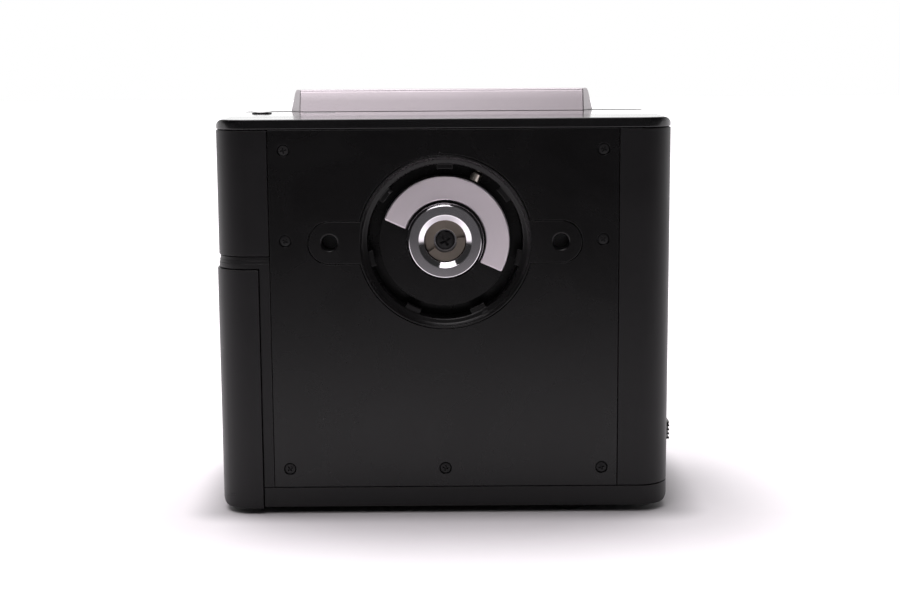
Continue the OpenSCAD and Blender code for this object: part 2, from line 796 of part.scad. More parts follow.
module button_spring() {
    color([0.75, 0.75, 0.77]) translate([button_x, dep(button_d), well_z + 0.1]) difference() {
        cylinder(r = 3.7, h = 7.4);
        translate([0, 0, -1]) cylinder(r = 2.9, h = 10);
    }
}
module spool_plunger() {
    color([0.7, 0.71, 0.73]) difference() {
        union() {
            rod(cassette, 5, 67, plunger_d + 8);
            rod(cassette, 7, 66, 68.4);
            rod(cassette, 8.5, plunger_d + 8, plunger_d + 12);
        }
        rod(cassette, 3, 65, 72);
    }
}
module plunger_ring() {
    color([0.05, 0.05, 0.05]) tube(cassette, 7.4, 5 + fit, plunger_d - 2.2, plunger_d - 0.1);
}

chassis();
base_tray();
magazine_chamber();
bulkhead();
top_cap();
rear_panel();
socket_ring();
left_cover();
right_cover();
panel_screws();
lug_inserts();
spindle_bush();
fork_bush();
sprocket_bush();
idler_post();
core_post();
brake_felt();
counter_bracket();
counter_shaft();
counter_window();
button_well();
light_trap_velvet();
guide_pin();
feet();
foot_screws();
lid_hinge_body();
lid_hinge_pin();
door_hinge_pin();
door_catch_leaf();
latch_guides();
drive_hub();
dog_sleeve();
hub_screw();
half_plate();
drive_disc();
radial_pin();
drive_spindle();
drive_gear();
idler_gear();
fork_gear();
winding_fork();
core_holder();
core_nut();
sprocket();
counter_pinion();
counter_drum();
guide_roller();
lid();
lid_grip();
lid_seal();
lid_boss();
lid_hooks();
lid_hinge_leaf();
magazine_door();
magazine_pad();
lid_latch();
reset_button();
button_spring();
spool_plunger();
plunger_ring();
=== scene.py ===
# %% [markdown]
# # A bulk film loader, seen from its drive side
# The loader is a box of black mouldings around a metal bulkhead. The frame below brings in
# every part where the engineering model puts it. This lesson gives those parts their real edges,
# surfaces and finishes. All lengths in the text are millimetres, and one scene unit is one metre.

# %% Frame and imports
import json
import math

import bmesh
import bpy
import numpy as np
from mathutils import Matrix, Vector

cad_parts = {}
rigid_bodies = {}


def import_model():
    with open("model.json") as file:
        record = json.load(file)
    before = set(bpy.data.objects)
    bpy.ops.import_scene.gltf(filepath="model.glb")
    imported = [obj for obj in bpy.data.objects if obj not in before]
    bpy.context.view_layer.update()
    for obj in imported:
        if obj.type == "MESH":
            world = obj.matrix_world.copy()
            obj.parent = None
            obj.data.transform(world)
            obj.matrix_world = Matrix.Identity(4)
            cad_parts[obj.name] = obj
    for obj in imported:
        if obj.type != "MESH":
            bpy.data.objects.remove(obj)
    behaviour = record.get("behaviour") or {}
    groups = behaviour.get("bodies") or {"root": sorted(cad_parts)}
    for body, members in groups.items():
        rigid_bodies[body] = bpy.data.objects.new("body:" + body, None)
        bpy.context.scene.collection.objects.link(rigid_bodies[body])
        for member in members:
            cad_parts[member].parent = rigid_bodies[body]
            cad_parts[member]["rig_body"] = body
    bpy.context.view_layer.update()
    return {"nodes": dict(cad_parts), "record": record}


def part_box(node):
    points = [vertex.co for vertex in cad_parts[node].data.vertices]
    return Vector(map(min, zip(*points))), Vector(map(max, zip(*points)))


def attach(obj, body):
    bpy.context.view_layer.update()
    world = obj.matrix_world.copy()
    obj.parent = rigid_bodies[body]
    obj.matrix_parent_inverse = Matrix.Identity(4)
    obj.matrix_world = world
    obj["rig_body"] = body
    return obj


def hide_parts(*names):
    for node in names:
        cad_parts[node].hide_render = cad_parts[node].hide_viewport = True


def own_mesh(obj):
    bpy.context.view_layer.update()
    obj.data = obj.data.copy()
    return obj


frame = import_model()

MM = 0.001
NODES = frame["nodes"]
print("parts in the frame:", len(NODES))

# %% [markdown]
# ## Places to build from
# Every new piece is placed from a part that is already there: the hub gives the drive axis, and the
# rear panel gives the plane that all depths are counted from. That way nothing is fitted by eye.


# %% Places
def box_mm(node):
    """Lowest and highest corner of a part, in millimetres."""
    low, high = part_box(node)
    return np.array(low) / MM, np.array(high) / MM


REAR = box_mm("rear_panel")[0][1]
HUB = (box_mm("drive_hub")[0] + box_mm("drive_hub")[1]) / 2
TOP = box_mm("top_cap")[1][2]


def at(x, depth, z):
    """Point at a depth in front of the rear panel's face."""
    return np.array([x, REAR + depth, z], float)


print("rear plane at", round(REAR, 2), "drive axis at", HUB.round(2), "top at", round(TOP, 2))

# %% [markdown]
# ## Camera, lights and table
# The loader stands on a white sweep. The light is soft and comes from above and from behind, so the
# upper faces shine while the rear face looks into a dim room. The sky is a gradient from dim on the
# near side to white on the far side, and one wide lamp hangs overhead.

# %% Camera
LENS_MM = 64.4
PITCH_DEG = 8.8
ROLL_DEG = 0.38
camera_data = bpy.data.cameras.new("camera")
camera_data.lens = LENS_MM
camera_data.sensor_width = 36
camera_data.clip_start = 0.01
camera_data.clip_end = 50
camera = bpy.data.objects.new("camera", camera_data)
camera.location = at(3.1, -680, TOP + 28.1) * MM
camera.rotation_euler = (math.radians(90 - PITCH_DEG), math.radians(ROLL_DEG), 0)
bpy.context.scene.collection.objects.link(camera)
bpy.context.scene.camera = camera
bpy.context.scene.view_settings.view_transform = "Standard"
print("camera at", [round(c, 4) for c in camera.location])

# %% Sky
world = bpy.data.worlds.new("studio")
bpy.context.scene.world = world
world.use_nodes = True
sky = world.node_tree
sky.nodes.clear()
direction = sky.nodes.new("ShaderNodeTexCoord")
split = sky.nodes.new("ShaderNodeSeparateXYZ")
ramp = sky.nodes.new("ShaderNodeValToRGB")
background = sky.nodes.new("ShaderNodeBackground")
sky_out = sky.nodes.new("ShaderNodeOutputWorld")
lift = sky.nodes.new("ShaderNodeMath")
lift.operation = "MULTIPLY_ADD"
lift.inputs[1].default_value = 0.5
lift.inputs[2].default_value = 0.5
sky.links.new(direction.outputs["Generated"], split.inputs[0])
sky.links.new(split.outputs["Y"], lift.inputs[0])
sky.links.new(lift.outputs[0], ramp.inputs[0])
sky.links.new(ramp.outputs[0], background.inputs["Color"])
backdrop = sky.nodes.new("ShaderNodeBackground")
backdrop.inputs["Color"].default_value = (1, 1, 1, 1)
seen = sky.nodes.new("ShaderNodeLightPath")
choose = sky.nodes.new("ShaderNodeMixShader")
sky.links.new(seen.outputs["Is Camera Ray"], choose.inputs[0])
sky.links.new(background.outputs[0], choose.inputs[1])
sky.links.new(backdrop.outputs[0], choose.inputs[2])
sky.links.new(choose.outputs[0], sky_out.inputs["Surface"])
stops = [(0.0, 0.012), (0.36, 0.03), (0.5, 0.09), (0.58, 0.6), (0.68, 1.0), (0.9, 1.3)]
ramp.color_ramp.elements[0].position = stops[0][0]
ramp.color_ramp.elements[0].color = (stops[0][1],) * 3 + (1,)
ramp.color_ramp.elements[1].position = stops[-1][0]
ramp.color_ramp.elements[1].color = (stops[-1][1],) * 3 + (1,)
for place, grey in stops[1:-1]:
    stop = ramp.color_ramp.elements.new(place)
    stop.color = (grey, grey, grey, 1)
background.inputs["Strength"].default_value = 1.0
print("sky stops:", stops)


# %% Lamps
def soft_lamp(name, place, aim, size, watts, tint=(1, 0.955, 0.985)):
    """Square lamp of a given size in metres, turned to look at a point."""
    data = bpy.data.lights.new(name, "AREA")
    data.size = size
    data.energy = watts
    data.color = tint
    lamp = bpy.data.objects.new(name, data)
    lamp.location = place
    way = np.array(aim, float) - np.array(place, float)
    lamp.rotation_euler = (
        math.atan2(math.hypot(way[0], way[1]), -way[2]),
        0,
        math.atan2(way[1], way[0]) - math.pi / 2,
    )
    bpy.context.scene.collection.objects.link(lamp)
    return lamp


soft_lamp("overhead_lamp", (-0.25, 0.2, 1.4), (0, 0, 0.05), 1.3, 20)
soft_lamp("front_lamp", (-0.15, -0.75, 1.2), (0, 0, 0.1), 0.85, 4.0)

# %% [markdown]
# ## Three ways to make a mesh
# Most pieces here are one of three things. A grid of points worked out from two parameters becomes
# quads. A profile turned about a line gives hubs, pins and feet. A moulding with many openings keeps
# the model's exact shape, and gets the small edge radius that every real moulding has.


# %% Grids to meshes
def grid_faces(rows, columns, close_rows, close_columns, first):
    """Quads between neighbouring points of a grid, wrapped round where a direction is closed."""
    index = np.arange(rows * columns).reshape(rows, columns) + first
    near = np.arange(rows if close_rows else rows - 1)
    left = np.arange(columns if close_columns else columns - 1)
    far, right = (near + 1) % rows, (left + 1) % columns
    corners = [index[near][:, left], index[far][:, left], index[far][:, right], index[near][:, right]]
    return np.stack(corners, -1).reshape(-1, 4)


def tidy_mesh(mesh, sharp_deg):
    """Merges the points that meet at seams and poles, faces it outwards, and smooths it below an angle."""
    work = bmesh.new()
    work.from_mesh(mesh)
    bmesh.ops.remove_doubles(work, verts=work.verts, dist=2e-6)
    bmesh.ops.recalc_face_normals(work, faces=work.faces)
    work.to_mesh(mesh)
    work.free()
    mesh.polygons.foreach_set("use_smooth", np.ones(len(mesh.polygons), bool))
    mesh.set_sharp_from_angle(angle=math.radians(sharp_deg))


def flatten_normals(thing):
    """Lets the large faces keep their own direction, so that only the narrow edge bands turn the light."""
    weigh = thing.modifiers.new("flat_faces", "WEIGHTED_NORMAL")
    weigh.mode = "FACE_AREA"
    weigh.weight = 100
    weigh.thresh = 0.01


def add_object(name, mesh, body, finish):
    """Puts a finished mesh into the scene as a piece that moves with a body."""
    thing = bpy.data.objects.new(name, mesh)
    bpy.context.scene.collection.objects.link(thing)
    mesh.materials.clear()
    mesh.materials.append(finish)
    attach(thing, body)
    return thing


def piece(name, sheets, body, finish, sharp_deg=40, flat=True):
    """One piece from several grids. A sheet is (points in mm, close rows, close columns)."""
    points, faces, first = [], [], 0
    for grid, close_rows, close_columns in sheets:
        rows, columns = grid.shape[:2]
        faces.append(grid_faces(rows, columns, close_rows, close_columns, first))
        points.append(grid.reshape(-1, 3) * MM)
        first += rows * columns
    mesh = bpy.data.meshes.new(name)
    mesh.from_pydata(np.concatenate(points).tolist(), [], np.concatenate(faces).tolist())
    tidy_mesh(mesh, sharp_deg)
    print(f"{name}: {len(mesh.polygons)} faces")
    thing = add_object(name, mesh, body, finish)
    if flat:
        flatten_normals(thing)
    return thing


# %% Turned shapes
def rounded(corners, radius, steps=4, closed=True):
    """Profile with each corner replaced by a quadratic curve that starts and ends a radius away."""
    corners = np.array(corners, float)
    before, after = np.roll(corners, 1, 0), np.roll(corners, -1, 0)
    t = np.linspace(0, 1, steps)[None, :, None]

    def toward(other):
        gap = np.linalg.norm(other - corners, axis=1, keepdims=True)
        return corners + (other - corners) * np.minimum(radius, 0.45 * gap) / gap

    start, end = toward(before)[:, None], toward(after)[:, None]
    middle = corners[:, None]
    curve = (1 - t) ** 2 * start + 2 * t * (1 - t) * middle + t**2 * end
    if closed:
        return curve.reshape(-1, 2)
    return np.concatenate([corners[:1], curve[1:-1].reshape(-1, 2), corners[-1:]])


def turned(origin, axis, profile, segments=96):
    """Profile of (radius, distance) turned about a line: origin + distance * axis + radius * a circle."""
    axis = np.array(axis, float) / np.linalg.norm(axis)
    side = np.cross(axis, [0.31, 0.77, 0.55])
    side /= np.linalg.norm(side)
    other = np.cross(axis, side)
    angle = np.linspace(0, 2 * math.pi, segments, endpoint=False)
    circle = np.cos(angle)[:, None] * side + np.sin(angle)[:, None] * other
    profile = np.array(profile, float)
    return (
        np.array(origin, float)
        + profile[:, None, 1:2] * axis
        + profile[:, None, 0:1] * circle[None]
    )


print("a rounded square has", len(rounded([(1, 0), (2, 0), (2, 1), (1, 1)], 0.2)), "points")


# %% Softened mouldings
def softened(node, edge=0.3, steps=2, limit_deg=32, clamp=False):
    """A part's exact shape with its flat faces made whole again and its edges rounded by edge."""
    mesh = NODES[node].data.copy()
    mesh.name = node + "_finished"
    work = bmesh.new()
    work.from_mesh(mesh)
    bmesh.ops.remove_doubles(work, verts=work.verts, dist=2e-6)
    bmesh.ops.dissolve_limit(
        work, angle_limit=math.radians(0.6), verts=work.verts, edges=work.edges
    )
    work.to_mesh(mesh)
    work.free()
    mesh.polygons.foreach_set("use_smooth", np.ones(len(mesh.polygons), bool))
    thing = add_object(mesh.name, mesh, NODES[node]["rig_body"], FINISH[SLOT[node]])
    bevel = thing.modifiers.new("edge", "BEVEL")
    bevel.width = edge * MM
    bevel.segments = steps
    bevel.limit_method = "ANGLE"
    bevel.angle_limit = math.radians(limit_deg)
    bevel.use_clamp_overlap = clamp
    bevel.harden_normals = False
    flatten_normals(thing)
    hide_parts(node)
    print(f"{mesh.name}: {len(mesh.polygons)} faces, edges rounded by {edge}")
    return thing


# %% [markdown]
# ## Shared effects
# Real surfaces differ from place to place: a mould leaves a grain, hands leave smudges, dust settles,
# a lathe leaves rings. Each effect is one node group, which every finish uses with its own values.


# %% Node groups
def new_group(name, inputs, outputs):
    """Empty shader group with named sockets. Inputs are (name, kind, value), outputs (name, kind)."""
    group = bpy.data.node_groups.new(name, "ShaderNodeTree")
    for label, kind, value in inputs:
        socket = group.interface.new_socket(label, in_out="INPUT", socket_type=kind)
        if value is not None:
            socket.default_value = value
    for label, kind in outputs:
        group.interface.new_socket(label, in_out="OUTPUT", socket_type=kind)
    return group, group.nodes.new("NodeGroupInput"), group.nodes.new("NodeGroupOutput")


def math_node(tree, operation, first, second=None, third=None):
    """A Math node with its inputs linked or set."""
    node = tree.nodes.new("ShaderNodeMath")
    node.operation = operation
    for socket, value in zip(node.inputs, (first, second, third)):
        if value is None:
            continue
        if isinstance(value, (int, float)):
            socket.default_value = value
        else:
            tree.links.new(value, socket)
    return node.outputs[0]


FLOAT, VECTOR = "NodeSocketFloat", "NodeSocketVector"


# %% Mould grain
grain_group, g_in, g_out = new_group(
    "mould_grain", [("Vector", VECTOR, None), ("Scale", FLOAT, 2500.0)], [("Height", FLOAT)]
)
fine = grain_group.nodes.new("ShaderNodeTexNoise")
cells = grain_group.nodes.new("ShaderNodeTexVoronoi")
fine.inputs["Detail"].default_value = 3
for texture in (fine, cells):
    grain_group.links.new(g_in.outputs["Vector"], texture.inputs["Vector"])
    grain_group.links.new(g_in.outputs["Scale"], texture.inputs["Scale"])
grain_group.links.new(
    math_node(grain_group, "MULTIPLY_ADD", cells.outputs["Distance"], 0.6, fine.outputs[0]),
    g_out.inputs["Height"],
)
print("grain group has", len(grain_group.nodes), "nodes")

# %% Smudges
smudge_group, g_in, g_out = new_group(
    "smudges", [("Vector", VECTOR, None), ("Scale", FLOAT, 25.0)], [("Mask", FLOAT)]
)
cloud = smudge_group.nodes.new("ShaderNodeTexNoise")
cloud.inputs["Detail"].default_value = 5
cloud.inputs["Roughness"].default_value = 0.6
cloud.inputs["Distortion"].default_value = 0.8
smudge_group.links.new(g_in.outputs["Vector"], cloud.inputs["Vector"])
smudge_group.links.new(g_in.outputs["Scale"], cloud.inputs["Scale"])
spread = smudge_group.nodes.new("ShaderNodeMapRange")
spread.inputs["From Min"].default_value = 0.35
spread.inputs["From Max"].default_value = 0.68
smudge_group.links.new(cloud.outputs[0], spread.inputs["Value"])
smudge_group.links.new(spread.outputs[0], g_out.inputs["Mask"])
print("smudges span noise 0.35 to 0.68")

# %% Dust
dust_group, g_in, g_out = new_group(
    "dust",
    [("Vector", VECTOR, None), ("Scale", FLOAT, 260.0), ("Amount", FLOAT, 0.1)],
    [("Mask", FLOAT)],
)
specks = dust_group.nodes.new("ShaderNodeTexVoronoi")
dust_group.links.new(g_in.outputs["Vector"], specks.inputs["Vector"])
dust_group.links.new(g_in.outputs["Scale"], specks.inputs["Scale"])
tint = dust_group.nodes.new("ShaderNodeSeparateColor")
dust_group.links.new(specks.outputs["Color"], tint.inputs[0])
chosen = math_node(dust_group, "LESS_THAN", tint.outputs[0], g_in.outputs["Amount"])
size = math_node(dust_group, "MULTIPLY", tint.outputs[1], 0.14)
small = math_node(dust_group, "LESS_THAN", specks.outputs["Distance"], size)
dust_group.links.new(math_node(dust_group, "MULTIPLY", chosen, small), g_out.inputs["Mask"])
print("dust picks a tenth of the cells")

# %% Tool marks
rings_group, g_in, g_out = new_group(
    "turned_rings", [("Vector", VECTOR, None), ("Pitch", FLOAT, 0.0003)], [("Height", FLOAT)]
)
parts = rings_group.nodes.new("ShaderNodeSeparateXYZ")
rings_group.links.new(g_in.outputs["Vector"], parts.inputs[0])
square_x = math_node(rings_group, "MULTIPLY", parts.outputs["X"], parts.outputs["X"])
square_z = math_node(rings_group, "MULTIPLY", parts.outputs["Z"], parts.outputs["Z"])
distance = math_node(rings_group, "SQRT", math_node(rings_group, "ADD", square_x, square_z))
turns = math_node(rings_group, "DIVIDE", distance, g_in.outputs["Pitch"])
drift = rings_group.nodes.new("ShaderNodeTexNoise")
drift.noise_dimensions = "1D"
drift.inputs["Scale"].default_value = 1.0
drift.inputs["Detail"].default_value = 2
rings_group.links.new(turns, drift.inputs["W"])
rings_group.links.new(drift.outputs[0], g_out.inputs["Height"])

brush_group, g_in, g_out = new_group(
    "brush_lines", [("Vector", VECTOR, None), ("Scale", FLOAT, 60.0)], [("Height", FLOAT)]
)
stretch = brush_group.nodes.new("ShaderNodeVectorMath")
stretch.operation = "MULTIPLY"
stretch.inputs[1].default_value = (1, 40, 40)
streaks = brush_group.nodes.new("ShaderNodeTexNoise")
streaks.inputs["Detail"].default_value = 4
brush_group.links.new(g_in.outputs["Vector"], stretch.inputs[0])
brush_group.links.new(stretch.outputs[0], streaks.inputs["Vector"])
brush_group.links.new(g_in.outputs["Scale"], streaks.inputs["Scale"])
brush_group.links.new(streaks.outputs[0], g_out.inputs["Height"])
print("groups:", [g.name for g in bpy.data.node_groups])


# %% [markdown]
# ## Finishes
# A finish joins the groups to one shader. The colour drifts between two close tones with the smudges,
# the roughness drifts with them, dust is paler, and the height goes through a Bump node.
# What is the same everywhere, such as the metallic value, is set on the shader's own socket.


# %% One builder for every solid finish
def place_group(tree, group, **values):
    """Puts a group into a material and sets its plain inputs."""
    node = tree.nodes.new("ShaderNodeGroup")
    node.node_tree = group
    for label, value in values.items():
        node.inputs[label].default_value = value
    return node


def solid_finish(
    name,
    tones,
    rough,
    metallic=0.0,
    marks=grain_group,
    mark_values=None,
    mark_depth=0.00003,
    mark_strength=0.3,
    dust=0.06,
    dust_tone=(0.25, 0.24, 0.25),
    centre=(0, 0, 0),
    smudge_scale=25.0,
    coat=0.0,
    specular=0.5,
):
    """Principled material: tones are the two colours, rough the two roughnesses it drifts between."""
    material = bpy.data.materials.new(name)
    material.use_nodes = True
    tree = material.node_tree
    shader = tree.nodes["Principled BSDF"]
    shader.inputs["Metallic"].default_value = metallic
    shader.inputs["Coat Weight"].default_value = coat
    shader.inputs["Specular IOR Level"].default_value = specular
    coordinates = tree.nodes.new("ShaderNodeTexCoord")
    mapping = tree.nodes.new("ShaderNodeMapping")
    mapping.inputs["Location"].default_value = [-c * MM for c in centre]
    tree.links.new(coordinates.outputs["Object"], mapping.inputs["Vector"])
    smudge = place_group(tree, smudge_group, Scale=smudge_scale)
    specks = place_group(tree, dust_group, Amount=dust)
    mark = place_group(tree, marks, **(mark_values or {}))
    for node in (smudge, specks, mark):
        tree.links.new(mapping.outputs[0], node.inputs["Vector"])
    colour = tree.nodes.new("ShaderNodeMix")
    colour.data_type = "RGBA"
    colour.inputs["A"].default_value = (*tones[0], 1)
    colour.inputs["B"].default_value = (*tones[1], 1)
    tree.links.new(smudge.outputs[0], colour.inputs["Factor"])
    dusted = tree.nodes.new("ShaderNodeMix")
    dusted.data_type = "RGBA"
    dusted.inputs["B"].default_value = (*dust_tone, 1)
    tree.links.new(specks.outputs[0], dusted.inputs["Factor"])
    tree.links.new(colour.outputs["Result"], dusted.inputs["A"])
    tree.links.new(dusted.outputs["Result"], shader.inputs["Base Color"])
    roughness = tree.nodes.new("ShaderNodeMapRange")
    roughness.inputs["To Min"].default_value = rough[0]
    roughness.inputs["To Max"].default_value = rough[1]
    tree.links.new(smudge.outputs[0], roughness.inputs["Value"])
    tree.links.new(roughness.outputs[0], shader.inputs["Roughness"])
    bump = tree.nodes.new("ShaderNodeBump")
    bump.inputs["Distance"].default_value = mark_depth
    bump.inputs["Strength"].default_value = mark_strength
    tree.links.new(mark.outputs[0], bump.inputs["Height"])
    tree.links.new(bump.outputs[0], shader.inputs["Normal"])
    return material


# %% [markdown]
# ## The black parts
# They are five different blacks: the rear panel is smooth and semi-gloss, the covers have a fine
# spark-eroded grain, the cap is glossier, the inside is dull, and rubber is duller still.

# %% Black finishes
FINISH = {}
FINISH["panel_black"] = solid_finish(
    "panel_black", [(0.0038, 0.0036, 0.0038), (0.0052, 0.0049, 0.0052)], (0.24, 0.3),
    mark_values={"Scale": 1500.0}, mark_depth=0.00001, mark_strength=0.2, dust=0.02,
    dust_tone=(0.05, 0.048, 0.05), specular=0.27,
)
FINISH["cover_black"] = solid_finish(
    "cover_black", [(0.0062, 0.0058, 0.0064), (0.0082, 0.0077, 0.0084)], (0.38, 0.44),
    mark_values={"Scale": 2600.0}, mark_depth=0.00003, mark_strength=0.35, dust=0.03,
    dust_tone=(0.05, 0.048, 0.05), specular=0.27,
)
FINISH["frame_black"] = solid_finish(
    "frame_black", [(0.0056, 0.0053, 0.0057), (0.0075, 0.0071, 0.0076)], (0.36, 0.44),
    mark_values={"Scale": 2400.0}, mark_depth=0.00003, mark_strength=0.3, dust=0.04,
    dust_tone=(0.06, 0.057, 0.06), specular=0.26,
)
FINISH["cap_black"] = solid_finish(
    "cap_black", [(0.0045, 0.0043, 0.0048), (0.0062, 0.0059, 0.0065)], (0.13, 0.17),
    mark_values={"Scale": 2000.0}, mark_depth=0.000002, mark_strength=0.1, dust=0.02,
    dust_tone=(0.06, 0.057, 0.06), specular=0.5,
)
cap_tree = FINISH["cap_black"].node_tree
cap_shader = cap_tree.nodes["Principled BSDF"]
cap_shader.inputs["Coat Roughness"].default_value = 0.04
cap_place = cap_tree.nodes.new("ShaderNodeTexCoord")
cap_split = cap_tree.nodes.new("ShaderNodeSeparateXYZ")
cap_tree.links.new(cap_place.outputs["Object"], cap_split.inputs[0])
polished = cap_tree.nodes.new("ShaderNodeMapRange")
polished.interpolation_type = "SMOOTHSTEP"
polished.inputs["From Min"].default_value = (REAR + 30) * MM
polished.inputs["From Max"].default_value = (REAR + 48) * MM
polished.inputs["To Min"].default_value = 0.16
cap_tree.links.new(cap_split.outputs["Y"], polished.inputs["Value"])
cap_tree.links.new(polished.outputs[0], cap_shader.inputs["Coat Weight"])
FINISH["inner_black"] = solid_finish(
    "inner_black", [(0.005, 0.005, 0.005), (0.008, 0.008, 0.008)], (0.65, 0.75),
    mark_values={"Scale": 1800.0}, mark_strength=0.5, dust=0.1, dust_tone=(0.04, 0.04, 0.04),
    specular=0.25,
)
FINISH["rubber"] = solid_finish(
    "rubber", [(0.008, 0.008, 0.008), (0.014, 0.014, 0.014)], (0.7, 0.85),
    mark_values={"Scale": 900.0}, mark_depth=0.00005, mark_strength=0.4, dust=0.15,
    dust_tone=(0.08, 0.08, 0.08), specular=0.3,
)
FINISH["foam"] = solid_finish(
    "foam", [(0.008, 0.008, 0.008), (0.015, 0.015, 0.015)], (0.9, 0.95),
    mark_values={"Scale": 700.0}, mark_depth=0.0003, mark_strength=0.9, dust=0.05,
    dust_tone=(0.06, 0.06, 0.06), specular=0.3,
)
FINISH["screw_black"] = solid_finish(
    "screw_black", [(0.008, 0.008, 0.0085), (0.016, 0.0155, 0.016)], (0.4, 0.55), metallic=0.2,
    mark_values={"Scale": 3000.0}, dust=0.06, dust_tone=(0.07, 0.068, 0.07), specular=0.3,
)
FINISH["hinge_black"] = solid_finish(
    "hinge_black", [(0.01, 0.01, 0.011), (0.017, 0.017, 0.018)], (0.35, 0.5),
    mark_values={"Scale": 1500.0}, dust=0.05, dust_tone=(0.08, 0.08, 0.08), specular=0.35,
)
print("black finishes:", len(FINISH))

# %% Metals
HUB_CENTRE = (HUB[0], 0, HUB[2])
FINISH["chrome_hub"] = solid_finish(
    "chrome_hub", [(0.86, 0.835, 0.87), (0.91, 0.885, 0.92)], (0.07, 0.12), metallic=1.0,
    marks=rings_group, mark_values={"Pitch": 0.00022}, mark_depth=0.000003, mark_strength=0.4,
    dust=0.03, dust_tone=(0.3, 0.3, 0.3), centre=HUB_CENTRE,
)
FINISH["grip_silver"] = solid_finish(
    "grip_silver", [(0.37, 0.34, 0.358), (0.41, 0.378, 0.396)], (0.38, 0.46), metallic=0.9,
    marks=brush_group, mark_depth=0.00002, mark_strength=0.35, dust=0.03, dust_tone=(0.3, 0.29, 0.3),
)
FINISH["satin_plate"] = solid_finish(
    "satin_plate", [(0.80, 0.735, 0.775), (0.86, 0.79, 0.835)], (0.42, 0.5), metallic=1.0,
    mark_values={"Scale": 3500.0}, mark_depth=0.00003, mark_strength=0.35, dust=0.03,
    dust_tone=(0.2, 0.2, 0.2),
)
FINISH["sleeve_metal"] = solid_finish(
    "sleeve_metal", [(0.20, 0.175, 0.15), (0.27, 0.235, 0.20)], (0.28, 0.42), metallic=1.0,
    marks=rings_group, mark_values={"Pitch": 0.0003}, mark_depth=0.00002, mark_strength=0.5,
    centre=HUB_CENTRE, dust_tone=(0.1, 0.09, 0.08),
)
FINISH["nickel"] = solid_finish(
    "nickel", [(0.55, 0.50, 0.44), (0.62, 0.57, 0.51)], (0.2, 0.32), metallic=1.0,
    marks=brush_group, mark_depth=0.00002, mark_strength=0.3, dust_tone=(0.2, 0.2, 0.2),
)
FINISH["steel"] = solid_finish(
    "steel", [(0.50, 0.50, 0.51), (0.6, 0.6, 0.61)], (0.25, 0.38), metallic=1.0,
    marks=brush_group, mark_depth=0.00002, mark_strength=0.35, dust_tone=(0.2, 0.2, 0.2),
)
FINISH["spring_steel"] = solid_finish(
    "spring_steel", [(0.45, 0.45, 0.46), (0.55, 0.55, 0.56)], (0.22, 0.3), metallic=1.0,
    marks=brush_group, mark_depth=0.00002, dust_tone=(0.2, 0.2, 0.2),
)
FINISH["brass"] = solid_finish(
    "brass", [(0.55, 0.39, 0.17), (0.65, 0.48, 0.24)], (0.22, 0.36), metallic=1.0,
    marks=rings_group, mark_values={"Pitch": 0.0003}, mark_depth=0.00002, centre=HUB_CENTRE,
    dust_tone=(0.2, 0.16, 0.1),
)
FINISH["plate_metal"] = solid_finish(
    "plate_metal", [(0.52, 0.52, 0.53), (0.6, 0.6, 0.61)], (0.35, 0.5), metallic=1.0,
    marks=brush_group, mark_depth=0.00003, mark_strength=0.4, dust_tone=(0.2, 0.2, 0.2),
)
print("with the metals:", len(FINISH))

# %% Plastics, felt and window
FINISH["gear_plastic"] = solid_finish(
    "gear_plastic", [(0.62, 0.58, 0.48), (0.7, 0.66, 0.56)], (0.4, 0.5),
    mark_values={"Scale": 1500.0}, dust_tone=(0.3, 0.28, 0.25),
)
FINISH["dial_white"] = solid_finish(
    "dial_white", [(0.68, 0.68, 0.66), (0.75, 0.75, 0.73)], (0.35, 0.45),
    mark_values={"Scale": 1500.0}, dust_tone=(0.3, 0.3, 0.3),
)
FINISH["felt"] = solid_finish(
    "felt", [(0.008, 0.008, 0.008), (0.02, 0.02, 0.02)], (0.95, 1.0),
    mark_values={"Scale": 2200.0}, mark_depth=0.0003, mark_strength=1.0, dust=0.15,
)
FINISH["brake_felt"] = solid_finish(
    "brake_felt", [(0.16, 0.02, 0.018), (0.24, 0.035, 0.03)], (0.95, 1.0),
    mark_values={"Scale": 2200.0}, mark_depth=0.0003, mark_strength=1.0, dust_tone=(0.3, 0.1, 0.1),
)
FINISH["window"] = solid_finish(
    "window", [(0.9, 0.93, 0.94), (0.94, 0.96, 0.97)], (0.03, 0.08),
    mark_values={"Scale": 400.0}, mark_depth=0.000005, dust=0.03, dust_tone=(0.7, 0.7, 0.7),
)
FINISH["window"].node_tree.nodes["Principled BSDF"].inputs["Transmission Weight"].default_value = 0.95
FINISH["print_ink"] = solid_finish(
    "print_ink", [(0.01, 0.01, 0.01), (0.02, 0.02, 0.02)], (0.5, 0.6), mark_values={"Scale": 2000.0}
)
print("all finishes:", sorted(FINISH))

# %% [markdown]
# ## Every part gets its finish
# The record says which finish each part has, and the same name picks the material here. Parts that
# are replaced later by a finer piece keep this finish too, so a cut-away view stays right.

# %% Finishes on the parts
SLOT = {entry["node"]: entry["material_slot"] for entry in frame["record"]["subparts"]}
for node, thing in NODES.items():
    if not thing.material_slots:
        thing.data.materials.append(None)
    for holder in thing.material_slots:
        holder.material = FINISH[SLOT[node]]
print("parts with a finish:", len(SLOT))
